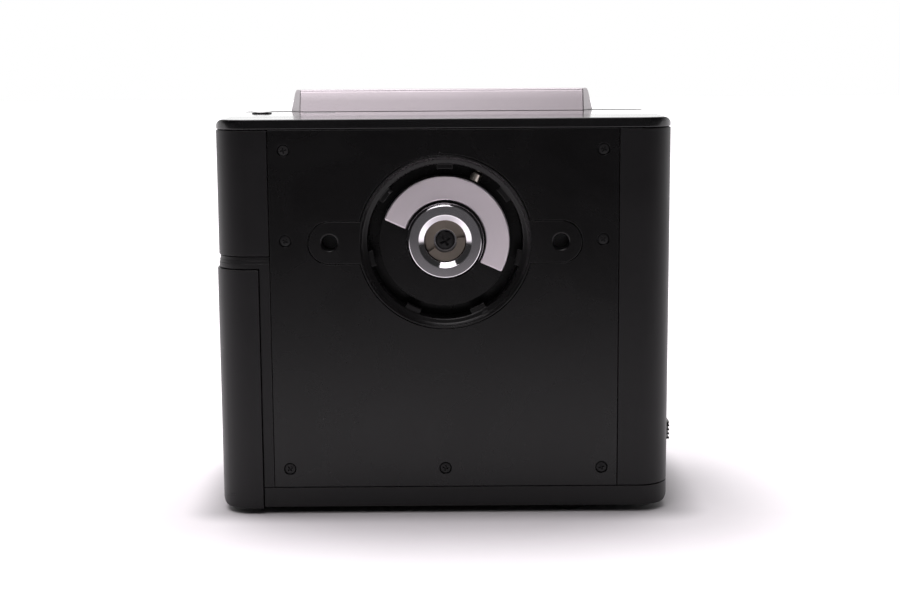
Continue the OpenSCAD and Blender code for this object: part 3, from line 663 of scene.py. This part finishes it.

# %% [markdown]
# ## Table
# A white sweep that runs under the loader and far beyond it, as matt paper. Far behind, it has to be as
# white as the wall it turns into, so it glows a little there. Right beside the loader it doesn't glow,
# and its colour is painted dark there as well: a painted contact shadow. In front of the loader the
# colour and the glow are painted dark for every ray but the camera's, so only light that bounces sees it
# dim, and the gloss of the rear face shows a painted dark reflection of the near table.

# %% Table
span = np.linspace(-6, 6, 41)
table_points = np.stack(np.meshgrid(span, span, indexing="ij") + [np.zeros((41, 41))], -1)
table_mesh = bpy.data.meshes.new("table_top")
table_mesh.from_pydata(
    table_points.reshape(-1, 3).tolist(), [], grid_faces(41, 41, False, False, 0)[:, ::-1].tolist()
)
paper = solid_finish(
    "paper", [(0.90, 0.875, 0.895), (0.915, 0.89, 0.91)], (0.85, 0.95),
    mark_values={"Scale": 900.0}, mark_depth=0.00002, mark_strength=0.2, dust=0.0,
)
tree = paper.node_tree
paper_shader = tree.nodes["Principled BSDF"]
paper_shader.inputs["Emission Strength"].default_value = 1.0


def ramp_node(value, start, end, low, high):
    """Smooth ramp of a value from low at start to high at end."""
    node = tree.nodes.new("ShaderNodeMapRange")
    node.interpolation_type = "SMOOTHSTEP"
    node.inputs["From Min"].default_value = start
    node.inputs["From Max"].default_value = end
    node.inputs["To Min"].default_value = low
    node.inputs["To Max"].default_value = high
    tree.links.new(value, node.inputs["Value"])
    return node.outputs[0]


place = tree.nodes.new("ShaderNodeTexCoord")
xyz = tree.nodes.new("ShaderNodeSeparateXYZ")
tree.links.new(place.outputs["Object"], xyz.inputs[0])
aside = math_node(tree, "SUBTRACT", math_node(tree, "ABSOLUTE", xyz.outputs["X"]), 0.095)
behind = math_node(tree, "SUBTRACT", math_node(tree, "ABSOLUTE", xyz.outputs["Y"]), 0.045)
aside = math_node(tree, "MAXIMUM", aside, 0.0)
behind = math_node(tree, "MAXIMUM", behind, 0.0)
away = math_node(
    tree, "SQRT",
    math_node(
        tree, "ADD",
        math_node(tree, "MULTIPLY", aside, aside), math_node(tree, "MULTIPLY", behind, behind),
    ),
)
near_glow = ramp_node(away, 0.01, 0.13, 0.0, 0.27)
far_glow = ramp_node(away, 0.3, 2.0, 0.0, 0.45)
looked_at = tree.nodes.new("ShaderNodeLightPath").outputs["Is Camera Ray"]
# Painted dark reflection: in front of the loader the paper's glow and colour fade for every ray but the
# camera's.
toward_camera = ramp_node(xyz.outputs["Y"], -0.75, -0.14, 0.06, 1.0)
toward_camera = math_node(tree, "MAXIMUM", toward_camera, looked_at)
# Painted contact shadow: within 22 mm of the footprint the paper's colour goes up to half way to near black.
painted_contact_shadow = ramp_node(away, 0.0, 0.022, 0.5, 1.0)
glow = math_node(tree, "MULTIPLY", math_node(tree, "ADD", near_glow, far_glow), toward_camera)
# Painted light: the camera sees the paper's glow 35 % brighter than other rays do.
glow = math_node(tree, "MULTIPLY", glow, math_node(tree, "MULTIPLY_ADD", looked_at, 0.35, 1.0))
glow_colour = tree.nodes.new("ShaderNodeCombineColor")
for socket, share in zip(glow_colour.inputs, (1.0, 0.975, 1.0)):
    tree.links.new(math_node(tree, "MULTIPLY", glow, share), socket)
tree.links.new(glow_colour.outputs[0], paper_shader.inputs["Emission Color"])
paper_base = paper_shader.inputs["Base Color"].links[0].from_socket
# Painted shade: the paper's colour is mixed towards near black, for the painted contact shadow and for the
# painted dark reflection in front of the loader.
shaded = tree.nodes.new("ShaderNodeMix")
shaded.data_type = "RGBA"
shaded.inputs["A"].default_value = (0.04, 0.038, 0.04, 1)
tree.links.new(math_node(tree, "MULTIPLY", toward_camera, painted_contact_shadow), shaded.inputs["Factor"])
tree.links.new(paper_base, shaded.inputs["B"])
tree.links.new(shaded.outputs["Result"], paper_shader.inputs["Base Color"])
table_mesh.materials.append(paper)
table_top = bpy.data.objects.new("table_top", table_mesh)
bpy.context.scene.collection.objects.link(table_top)
print("table faces:", len(table_mesh.polygons))

# %% [markdown]
# A dark sheet hangs behind the camera for the polished faces to reflect: a painted dark reflection.
# Only glossy rays see it; the camera itself doesn't see it, diffuse light doesn't, it casts no shadow, and it
# glows faintly.

# %% Dark reflection sheet
sheet_u, sheet_v = np.meshgrid(np.linspace(-1, 1, 60), np.linspace(0, 1, 20), indexing="ij")
folds = 0.02 * np.sin(sheet_u * 30) * (1.2 - sheet_v)
reflection_sheet_points = np.stack([sheet_u * 0.8, -0.95 + folds, sheet_v * 0.9 + 0.002], -1)
reflection_sheet_mesh = bpy.data.meshes.new("dark_reflection_sheet")
reflection_sheet_mesh.from_pydata(
    reflection_sheet_points.reshape(-1, 3).tolist(), [], grid_faces(60, 20, False, False, 0).tolist()
)
reflection_sheet_finish = solid_finish(
    "reflection_sheet_grey", [(0.03, 0.03, 0.031), (0.05, 0.05, 0.051)], (0.9, 0.95),
    mark_values={"Scale": 900.0}, dust=0.0,
)
reflection_sheet_shader = reflection_sheet_finish.node_tree.nodes["Principled BSDF"]
reflection_sheet_shader.inputs["Emission Color"].default_value = (1, 0.96, 1, 1)
# Painted light: the sheet glows faintly though it is no lamp.
reflection_sheet_shader.inputs["Emission Strength"].default_value = 0.022
reflection_sheet_mesh.materials.append(reflection_sheet_finish)
dark_reflection_sheet = bpy.data.objects.new("dark_reflection_sheet", reflection_sheet_mesh)
bpy.context.scene.collection.objects.link(dark_reflection_sheet)
# Seen only in gloss, so the sheet is a painted dark reflection.
dark_reflection_sheet.visible_camera = False
dark_reflection_sheet.visible_shadow = False
dark_reflection_sheet.visible_diffuse = False
print("cloth faces:", len(reflection_sheet_mesh.polygons))

# %% [markdown]
# ## Mouldings
# No moulded edge is perfectly sharp. A radius of 0.2 to 0.5 catches a thin line of light, and that line
# is most of what shows the seams of a black box.

# %% Covers, panel and frame
EDGES = {
    "chassis": 0.2, "base_tray": 0.2, "top_cap": 0.45, "rear_panel": 0.2, "socket_ring": 0.3,
    "left_cover": 0.3, "right_cover": 0.3, "magazine_door": 0.3, "lid": 0.45, "lid_latch": 0.25,
    "drive_disc": 0.25, "half_plate": 0.75, "dog_sleeve": 0.15, "lug_inserts": 0.12,
}
for node, edge in EDGES.items():
    softened(node, edge)

# %% Inner parts
INNER_EDGES = {
    "bulkhead": 0.2, "magazine_chamber": 0.25, "core_holder": 0.25, "core_nut": 0.3, "drive_gear": 0.1,
    "idler_gear": 0.1, "fork_gear": 0.1, "winding_fork": 0.2, "counter_bracket": 0.15,
    "counter_drum": 0.2, "counter_pinion": 0.08, "guide_roller": 0.2, "lid_boss": 0.25, "lid_hooks": 0.25,
    "latch_guides": 0.2, "spool_plunger": 0.2, "lid_hinge_leaf": 0.15, "lid_hinge_body": 0.15,
    "button_well": 0.15, "spindle_bush": 0.15, "fork_bush": 0.15, "idler_post": 0.15, "core_post": 0.2,
}
for node, edge in INNER_EDGES.items():
    softened(node, edge, clamp=True)

# %% [markdown]
# ## Grip on the lid
# The long grip along the top is a low block with sloping ends and a sloping near face. It is a stack of
# rounded outlines: each level has its own four corners and height, and the last levels turn over the
# top edge on a quarter circle.


# %% Grip
def outline(corners, radius, steps=6):
    """Closed outline of a polygon with rounded corners."""
    return rounded(corners, radius, steps)


def grip_levels():
    """Levels of (corner points, height), from the seat up, then over the top edge on a quarter circle."""
    low, high = box_mm("lid_grip")
    middle_x = (low[0] + high[0]) / 2
    near, far, far_top, set_back = 67.1, 72.4, 69.9, 5.2
    base = np.array([[-near, low[1]], [near, low[1]], [far, high[1]], [-far, high[1]]])
    crown = np.array([
        [-near, low[1] + set_back], [near, low[1] + set_back],
        [far_top, high[1] - 1.5], [-far_top, high[1] - 1.5],
    ])
    base[:, 0] += middle_x
    crown[:, 0] += middle_x
    height = high[2] - low[2]
    levels = [(base * (1 - t) + crown * t, height * t) for t in (0.0, 0.02, 0.5, 0.86)]
    radius = 0.9
    for angle in np.linspace(0, math.pi / 2, 6):
        inset = radius * (1 - math.cos(angle))
        shrink = crown - np.sign(crown - crown.mean(0)) * inset
        levels.append((shrink, height - radius * (1 - math.sin(angle))))
    return levels, low[2]


levels, seat = grip_levels()
rings = []
for corners, height in levels:
    flat = outline(corners, 0.6)
    rings.append(np.column_stack([flat, np.full(len(flat), seat + height)]))
middle = rings[-1].mean(0)
rings.append(rings[-1] * 0.4 + middle * 0.6)
rings.append(np.repeat(middle[None], len(rings[-1]), 0))
rings.insert(0, np.column_stack([np.repeat(rings[0][:, :2].mean(0)[None], len(rings[0]), 0), rings[0][:, 2]]))
grip = piece("grip", [(np.array(rings), False, True)], "lid_set", FINISH["grip_silver"], 30)
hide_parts("lid_grip")

# %% [markdown]
# ## Drive hub
# The hub is turned and chromed: a bevelled flange, a flat face and a countersink down to the dog. It is
# one closed profile turned about the drive axis, with corners of 0.12 to 0.2, as a lathe leaves them.

# %% Hub
HUB_PROFILE = [
    (4.05, 9.4), (9, 9.4), (9, 3.6), (11.4, 2), (15.3, 2), (16.5, 3.2), (16.5, 7.2), (13, 7.2),
    (13, 11), (4.05, 11),
]
axis_start = at(HUB[0], 0, HUB[2])
hub_piece = piece(
    "hub", [(turned(axis_start, (0, 1, 0), rounded(HUB_PROFILE, 0.22, 5), 160), True, True)],
    "drive", FINISH["chrome_hub"], 30,
)
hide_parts("drive_hub")


# %% [markdown]
# ## Cross-slotted screws
# A head is a shallow dome with a cross pressed into it. In polar coordinates its height is the dome
# minus the depth of the cross, and the cross is smooth at its walls as a punch leaves it.


# %% Screw heads
def smooth_step(x, start, end):
    """0 before start, 1 after end, an S curve between."""
    t = np.clip((x - start) / (end - start), 0, 1)
    return t * t * (3 - 2 * t)


def cross_head(centre, radius, crown, rim, arm, width, deep, turn_deg, rings=30, sectors=72):
    """Depth = crown dome at the middle, plus deep inside the cross; the edge rolls down to the rim."""
    share = np.linspace(0, 1, rings)
    angle = np.linspace(0, 2 * math.pi, sectors, endpoint=False)
    r = radius * share[:, None] * np.ones(sectors)
    x, z = r * np.cos(angle), r * np.sin(angle)
    turn = math.radians(turn_deg)
    u, v = x * math.cos(turn) + z * math.sin(turn), z * math.cos(turn) - x * math.sin(turn)
    inside = lambda a, b: (1 - smooth_step(abs(a), width * 0.7, width * 1.15)) * (
        1 - smooth_step(abs(b), arm * 0.8, arm)
    )
    cross = np.maximum(inside(u, v), inside(v, u))
    depth = crown * share[:, None] ** 2 + deep * cross * (1 - 0.25 * np.hypot(u, v) / radius)
    depth += crown * 0.8 * smooth_step(share, 0.9, 1.0)[:, None]
    top = np.stack([x, depth, z], -1)
    wall = top[-1].copy()
    wall[:, 1] = rim
    bottom = wall * [0, 1, 0]
    return np.concatenate([top, wall[None], bottom[None]]) + np.array(centre)


screw_low, screw_high = box_mm("panel_screws")
x_left, x_right = screw_low[0] + 2.4, screw_high[0] - 2.4
z_low, z_high = screw_low[2] + 2.4, screw_high[2] - 2.4
SCREWS = [
    (x_left, z_high, 12), (x_left, HUB[2] + 1, 57), (x_left, z_low, 33), (0, z_low, 80),
    (x_right, z_low, 20), (x_right, z_high - 0.2, 66), (x_right, HUB[2] + 1, 41),
]
heads = []
for x, z, turn_deg in SCREWS:
    heads.append((cross_head(at(x, 0.2, z), 2.4, 0.3, 1.05, 1.35, 0.3, 0.75, turn_deg), False, True))
    shank = rounded([(0.001, 1.2), (1.3, 1.2), (1.3, 9), (0.001, 9)], 0.1)
    heads.append((turned(at(x, 0, z), (0, 1, 0), shank, 24), True, True))
screws = piece("screws", heads, "body", FINISH["screw_black"], 50)
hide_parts("panel_screws")

# %% Hub screw
hub_head = cross_head(at(HUB[0], 6.85, HUB[2]), 4.05, 0.5, 2.4, 2.5, 0.5, 1.5, 30, 40, 96)
shank_profile = rounded([(0.001, 9.2), (1.9, 9.2), (1.9, 16), (0.001, 16)], 0.1)
hub_shank = turned(axis_start, (0, 1, 0), shank_profile, 32)
hub_screw = piece(
    "hub_screw_head", [(hub_head, False, True), (hub_shank, True, True)],
    "drive", FINISH["screw_black"], 50,
)
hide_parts("hub_screw")

# %% [markdown]
# ## Radial pin
# A nickel-plated pin stands out of the disc, a little to the right of the top. Its tip has a small
# chamfer and a slightly domed end.

# %% Pin
PIN_TILT = math.radians(26)
pin_way = (math.sin(PIN_TILT), 0, math.cos(PIN_TILT))
pin_profile = rounded([(0.001, 16), (2.5, 16), (2.5, 31.6), (1.9, 32.3), (0.001, 32.4)], 0.25, 5)
pin = piece(
    "pin", [(turned(at(HUB[0], 10.6, HUB[2]), pin_way, pin_profile, 64), True, True)],
    "drive", FINISH["nickel"], 35,
)
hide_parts("radial_pin")

# %% [markdown]
# ## Feet, button and spring
# The feet are rubber buttons with a rolled edge and a counterbored screw hole. The reset button is a thin
# disc with a crowned top. Its spring is wire of 0.7 wound in six turns: a circle carried along a helix.

# %% Feet
FOOT_AT = [(-60, 33), (53.5, 13), (-60, 72), (53.5, 72)]
foot_profile = rounded(
    [(3.2, 1.4), (3.2, 0.2), (5.6, 0.0), (8.0, 0.0), (8.5, 0.6), (8.5, 3.0), (1.7, 3.0), (1.7, 1.4)], 0.4, 4
)
feet = piece(
    "rubber_feet", [(turned(at(x, d, 0), (0, 0, 1), foot_profile, 64), True, True) for x, d in FOOT_AT],
    "body", FINISH["rubber"], 50,
)
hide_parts("feet")

# %% Button and spring
button_low, button_high = box_mm("reset_button")
button_axis = np.array([(button_low[0] + button_high[0]) / 2, (button_low[1] + button_high[1]) / 2, 0])
top_of = button_high[2]
collar = button_low[2] + 11.0
button_profile = rounded(
    [
        (0.001, button_low[2]), (2.4, button_low[2]), (2.4, collar), (3.9, collar), (3.9, collar + 1.9),
        (2.4, collar + 1.9), (2.4, top_of - 1.1), (4.2, top_of - 1.1), (4.65, top_of - 0.72),
        (4.65, top_of - 0.45), (4.0, top_of - 0.1), (0.001, top_of),
    ], 0.15, 4, closed=False,
)
button = piece(
    "counter_reset", [(turned(button_axis, (0, 0, 1), button_profile, 72), False, True)],
    "button", FINISH["cap_black"], 50,
)
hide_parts("reset_button")
print("button top at", round(top_of, 2))

spring_low, spring_high = box_mm("button_spring")
WIRE = 0.35
COILS = 6
along = np.linspace(0, 1, COILS * 28 + 1)
swing = 2 * math.pi * COILS * along
coil_r = (spring_high[0] - spring_low[0]) / 2 - WIRE
rise = spring_low[2] + WIRE + along * (spring_high[2] - spring_low[2] - 2 * WIRE)
round_wire = np.linspace(0, 2 * math.pi, 12, endpoint=False)
radial = coil_r + WIRE * np.cos(round_wire)[None]
spring_points = np.stack(
    [
        button_axis[0] + radial * np.cos(swing)[:, None],
        button_axis[1] + radial * np.sin(swing)[:, None],
        rise[:, None] + WIRE * np.sin(round_wire)[None],
    ], -1,
)
ends = [np.repeat(spring_points[i].mean(0)[None, None], 12, 1) for i in (0, -1)]
spring_points = np.concatenate([ends[0], spring_points, ends[1]])
spring = piece(
    "return_spring", [(spring_points, False, True)], "button", FINISH["spring_steel"]
)
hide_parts("button_spring")
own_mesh(spring)

# %% [markdown]
# ## Felt, velvet and foam
# Five soft parts keep light out or drag on something. Felt and velvet have a pile, so their surface is
# never quite even: a sum of sines with unrelated lengths moves every point a little. The foam strip of
# the lid is one bead carried round a rounded rectangle, and the pad in the door is a crowned cushion.


# %% Uneven surface
def uneven(points, depth, length):
    """Points moved by depth times a sum of three sines of their own place, with waves about length long."""
    wave = 2 * math.pi / length
    x, y, z = (points[..., k] for k in range(3))
    shift = np.stack(
        [
            np.sin(wave * y + 1.3 * np.sin(wave * 0.61 * z)),
            np.sin(wave * 1.17 * z + 1.1 * np.sin(wave * 0.53 * x)),
            np.sin(wave * 0.89 * x + 1.7 * np.sin(wave * 0.47 * y)),
        ], -1,
    )
    return points + depth * shift


# %% Felt brake
felt_low, felt_high = box_mm("brake_felt")
felt_axis = (felt_low + felt_high) / 2
FELT_BORE = 6
felt_r = (felt_high[0] - felt_low[0]) / 2
felt_thick = felt_high[1] - felt_low[1]
felt_profile = rounded(
    [(FELT_BORE, 0), (felt_r, 0), (felt_r, felt_thick), (FELT_BORE, felt_thick)], 0.4, 6
)
felt_ring = turned((felt_axis[0], felt_low[1], felt_axis[2]), (0, 1, 0), felt_profile, 160)
brake = piece(
    "felt_ring", [(uneven(felt_ring, 0.03, 1.3), True, True)],
    "body", FINISH[SLOT["brake_felt"]], 60, flat=False,
)
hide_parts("brake_felt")


# %% Velvet strips
def bar(low, high, radius, rows=60):
    """Rounded rectangle in x and z carried along y, with its ends drawn in on a quarter circle."""
    corners = [(low[0], low[2]), (high[0], low[2]), (high[0], high[2]), (low[0], high[2])]
    outline_xz = rounded(corners, radius, 6)
    middle = outline_xz.mean(0)
    t = np.linspace(0, 1, rows)
    y = low[1] + (high[1] - low[1]) * t
    near_end = np.clip(np.minimum(t, 1 - t) * (high[1] - low[1]) / radius, 0, 1)
    narrow = 0.5 * min(high[0] - low[0], high[2] - low[2])
    scale = 1 - (radius / narrow) * (1 - np.sqrt(1 - (1 - near_end) ** 2))
    flat = middle + (outline_xz - middle) * scale[:, None, None]
    side = np.stack([flat[..., 0], np.repeat(y[:, None], flat.shape[1], 1), flat[..., 1]], -1)
    ends = [np.repeat(side[i].mean(0)[None, None], side.shape[1], 1) for i in (0, -1)]
    return np.concatenate([ends[0], side, ends[1]])


velvet_low, velvet_high = box_mm("light_trap_velvet")
VELVET_W = 2.2
velvet_bars = []
for left in (velvet_low[0], velvet_high[0] - VELVET_W):
    start = np.array([left + 0.08, velvet_low[1] + 0.08, velvet_low[2] + 0.08])
    end = np.array([left + VELVET_W - 0.08, velvet_high[1] - 0.08, velvet_high[2] - 0.08])
    velvet_bars.append((uneven(bar(start, end, 0.6), 0.05, 0.9), False, True))
velvet = piece(
    "velvet_strips", velvet_bars, "body", FINISH[SLOT["light_trap_velvet"]],
    60, flat=False,
)
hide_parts("light_trap_velvet")

# %% Foam strip of the lid
seal_low, seal_high = box_mm("lid_seal")
SEAL_W = 4.4
seal_corner = 4.0
seal_middle = rounded(
    [
        (seal_low[0] + SEAL_W / 2, seal_low[2] + SEAL_W / 2),
        (seal_high[0] - SEAL_W / 2, seal_low[2] + SEAL_W / 2),
        (seal_high[0] - SEAL_W / 2, seal_high[2] - SEAL_W / 2),
        (seal_low[0] + SEAL_W / 2, seal_high[2] - SEAL_W / 2),
    ], seal_corner, 14,
)
finer = np.arange(0, len(seal_middle), 1 / 6)
lower = np.floor(finer).astype(int)
share = (finer - lower)[:, None]
seal_path = seal_middle[lower] * (1 - share) + seal_middle[(lower + 1) % len(seal_middle)] * share
tangent = np.roll(seal_path, -1, 0) - np.roll(seal_path, 1, 0)
tangent /= np.maximum(np.linalg.norm(tangent, axis=1, keepdims=True), 1e-9)
outward = np.column_stack([tangent[:, 1], -tangent[:, 0]])
half_deep = (seal_high[1] - seal_low[1]) / 2
bead = rounded(
    [
        (-SEAL_W / 2, -half_deep), (SEAL_W / 2, -half_deep),
        (SEAL_W / 2, half_deep), (-SEAL_W / 2, half_deep),
    ], 1.1, 6,
) * 0.985
seal_points = np.stack(
    [
        seal_path[:, None, 0] + outward[:, None, 0] * bead[None, :, 0],
        (seal_low[1] + half_deep + bead[None, :, 1]) * np.ones((len(seal_path), 1)),
        seal_path[:, None, 1] + outward[:, None, 1] * bead[None, :, 0],
    ], -1,
)
seal = piece(
    "foam_strip", [(uneven(seal_points, 0.03, 2.1), True, True)],
    NODES["lid_seal"]["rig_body"], FINISH[SLOT["lid_seal"]], 60, flat=False,
)
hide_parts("lid_seal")

# %% Pad in the cassette door
pad_low, pad_high = box_mm("magazine_pad")
u, v = np.meshgrid(np.linspace(-1, 1, 57), np.linspace(-1, 1, 57), indexing="ij")
half = (pad_high - pad_low) / 2
edge_fall = np.sqrt(np.clip(1 - np.maximum(abs(u), abs(v)) ** 14, 0, 1))
crown_u = 0.82 + 0.18 * (1 - u**2) * (1 - v**2)
draw_in = 1 - 0.02 * (1 - np.maximum(u**2, v**2)) - 0.012 * (1 - (u * v) ** 2)
pad_y = (pad_low[1] + pad_high[1]) / 2 + half[1] * u * draw_in
pad_z = (pad_low[2] + pad_high[2]) / 2 + half[2] * v * draw_in
pad_front = np.stack([pad_low[0] + 0.3 + (2 * half[0] - 0.35) * crown_u * edge_fall, pad_y, pad_z], -1)
pad_back = np.stack([pad_low[0] + 0.3 - 0.28 * edge_fall, pad_y, pad_z], -1)
pad = piece(
    "door_pad", [(uneven(pad_front, 0.02, 1.7), False, False), (pad_back[:, ::-1], False, False)],
    NODES["magazine_pad"]["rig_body"], FINISH[SLOT["magazine_pad"]], 70, flat=False,
)
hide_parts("magazine_pad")

# %% Ring that drags on the plunger
drag_low, drag_high = box_mm("plunger_ring")
drag_axis = (drag_low + drag_high) / 2
drag_r = (drag_high[0] - drag_low[0]) / 2
drag_deep = drag_high[1] - drag_low[1]
DRAG_BORE = 5.2
drag_profile = rounded(
    [(DRAG_BORE, 0), (drag_r, 0), (drag_r, drag_deep), (DRAG_BORE, drag_deep)], 0.8, 8
)
drag_ring = turned((drag_axis[0], drag_low[1], drag_axis[2]), (0, 1, 0), drag_profile, 96)
drag = piece(
    "drag_ring",
    [(uneven(drag_ring, 0.015, 1.1), True, True)],
    "body", FINISH[SLOT["plunger_ring"]], 60, flat=False,
)
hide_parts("plunger_ring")

# %% [markdown]
# ## Index mark
# A tiny rib is moulded on the rear panel above the ring. It shows where the half plate stands when the
# counter starts a roll.

# %% Index mark
MARK_X, MARK_Z = -1.6, 157.4
mark_outline = rounded([(-0.3, -1.0), (0.3, -1.0), (0.3, 1.0), (-0.3, 1.0)], 0.18, 4)
mark_levels = [(1.0, 0.1), (1.0, -0.12), (0.72, -0.25), (0.0, -0.25)]
mark_points = np.stack(
    [
        np.column_stack([
            MARK_X + mark_outline[:, 0] * k,
            np.full(len(mark_outline), REAR + d),
            MARK_Z + mark_outline[:, 1] * k,
        ])
        for k, d in [(0.0, 0.1)] + mark_levels
    ]
)
piece("index_mark", [(mark_points, False, True)], "body", FINISH["panel_black"], 40)

# %% [markdown]
# ## Counter drum print
# Ten figures and fifty ticks run round the drum that shows in the window on the top. They are flat type
# bent round the drum: the distance along the line of type becomes an angle.


# %% Print on the drum
drum_axis = np.array([box_mm("counter_shaft")[0][0] + box_mm("counter_shaft")[1][0], 0,
                      box_mm("counter_shaft")[0][2] + box_mm("counter_shaft")[1][2]]) / 2
DRUM_R = 11.62
INK = 0.04


def bent(flat, middle_y):
    """Type x becomes an angle about the drum's axis, type y runs back along it, type z is height."""
    angle = flat[:, 0] / DRUM_R
    radius = DRUM_R + flat[:, 2]
    return np.column_stack(
        [
            drum_axis[0] - radius * np.sin(angle),
            middle_y - flat[:, 1],
            drum_axis[2] + radius * np.cos(angle),
        ]
    )


type_points, type_faces, first = [], [], 0
step = 2 * math.pi * DRUM_R / 10
for number in range(10):
    letters = bpy.data.curves.new(f"figure_{number}", "FONT")
    letters.body = str(number)
    letters.size = 4.2
    letters.align_x = "CENTER"
    letters.resolution_u = 4
    holder = bpy.data.objects.new(f"figure_{number}", letters)
    flat_mesh = bpy.data.meshes.new_from_object(holder)
    co = np.zeros(len(flat_mesh.vertices) * 3)
    flat_mesh.vertices.foreach_get("co", co)
    flat = co.reshape(-1, 3) + [number * step, 0, INK]
    type_points.append(bent(flat, REAR + 73.2))
    type_faces += [[v + first for v in face.vertices] for face in flat_mesh.polygons]
    first += len(flat)
    bpy.data.objects.remove(holder)
ticks = np.array([[-0.15, 0, INK], [0.15, 0, INK], [0.15, 1.2, INK], [-0.15, 1.2, INK]])
for tick in range(50):
    longer = np.array([1, 1.6 if tick % 5 == 0 else 1.0, 1])
    type_points.append(bent(ticks * longer + [tick * step / 5, 0, 0], REAR + 75.6))
    type_faces.append([first, first + 1, first + 2, first + 3])
    first += 4
print_mesh = bpy.data.meshes.new("drum_print")
print_mesh.from_pydata((np.concatenate(type_points) * MM).tolist(), [], type_faces)
add_object("drum_print", print_mesh, "drum", FINISH["print_ink"])
print("drum print has", len(print_mesh.polygons), "faces")
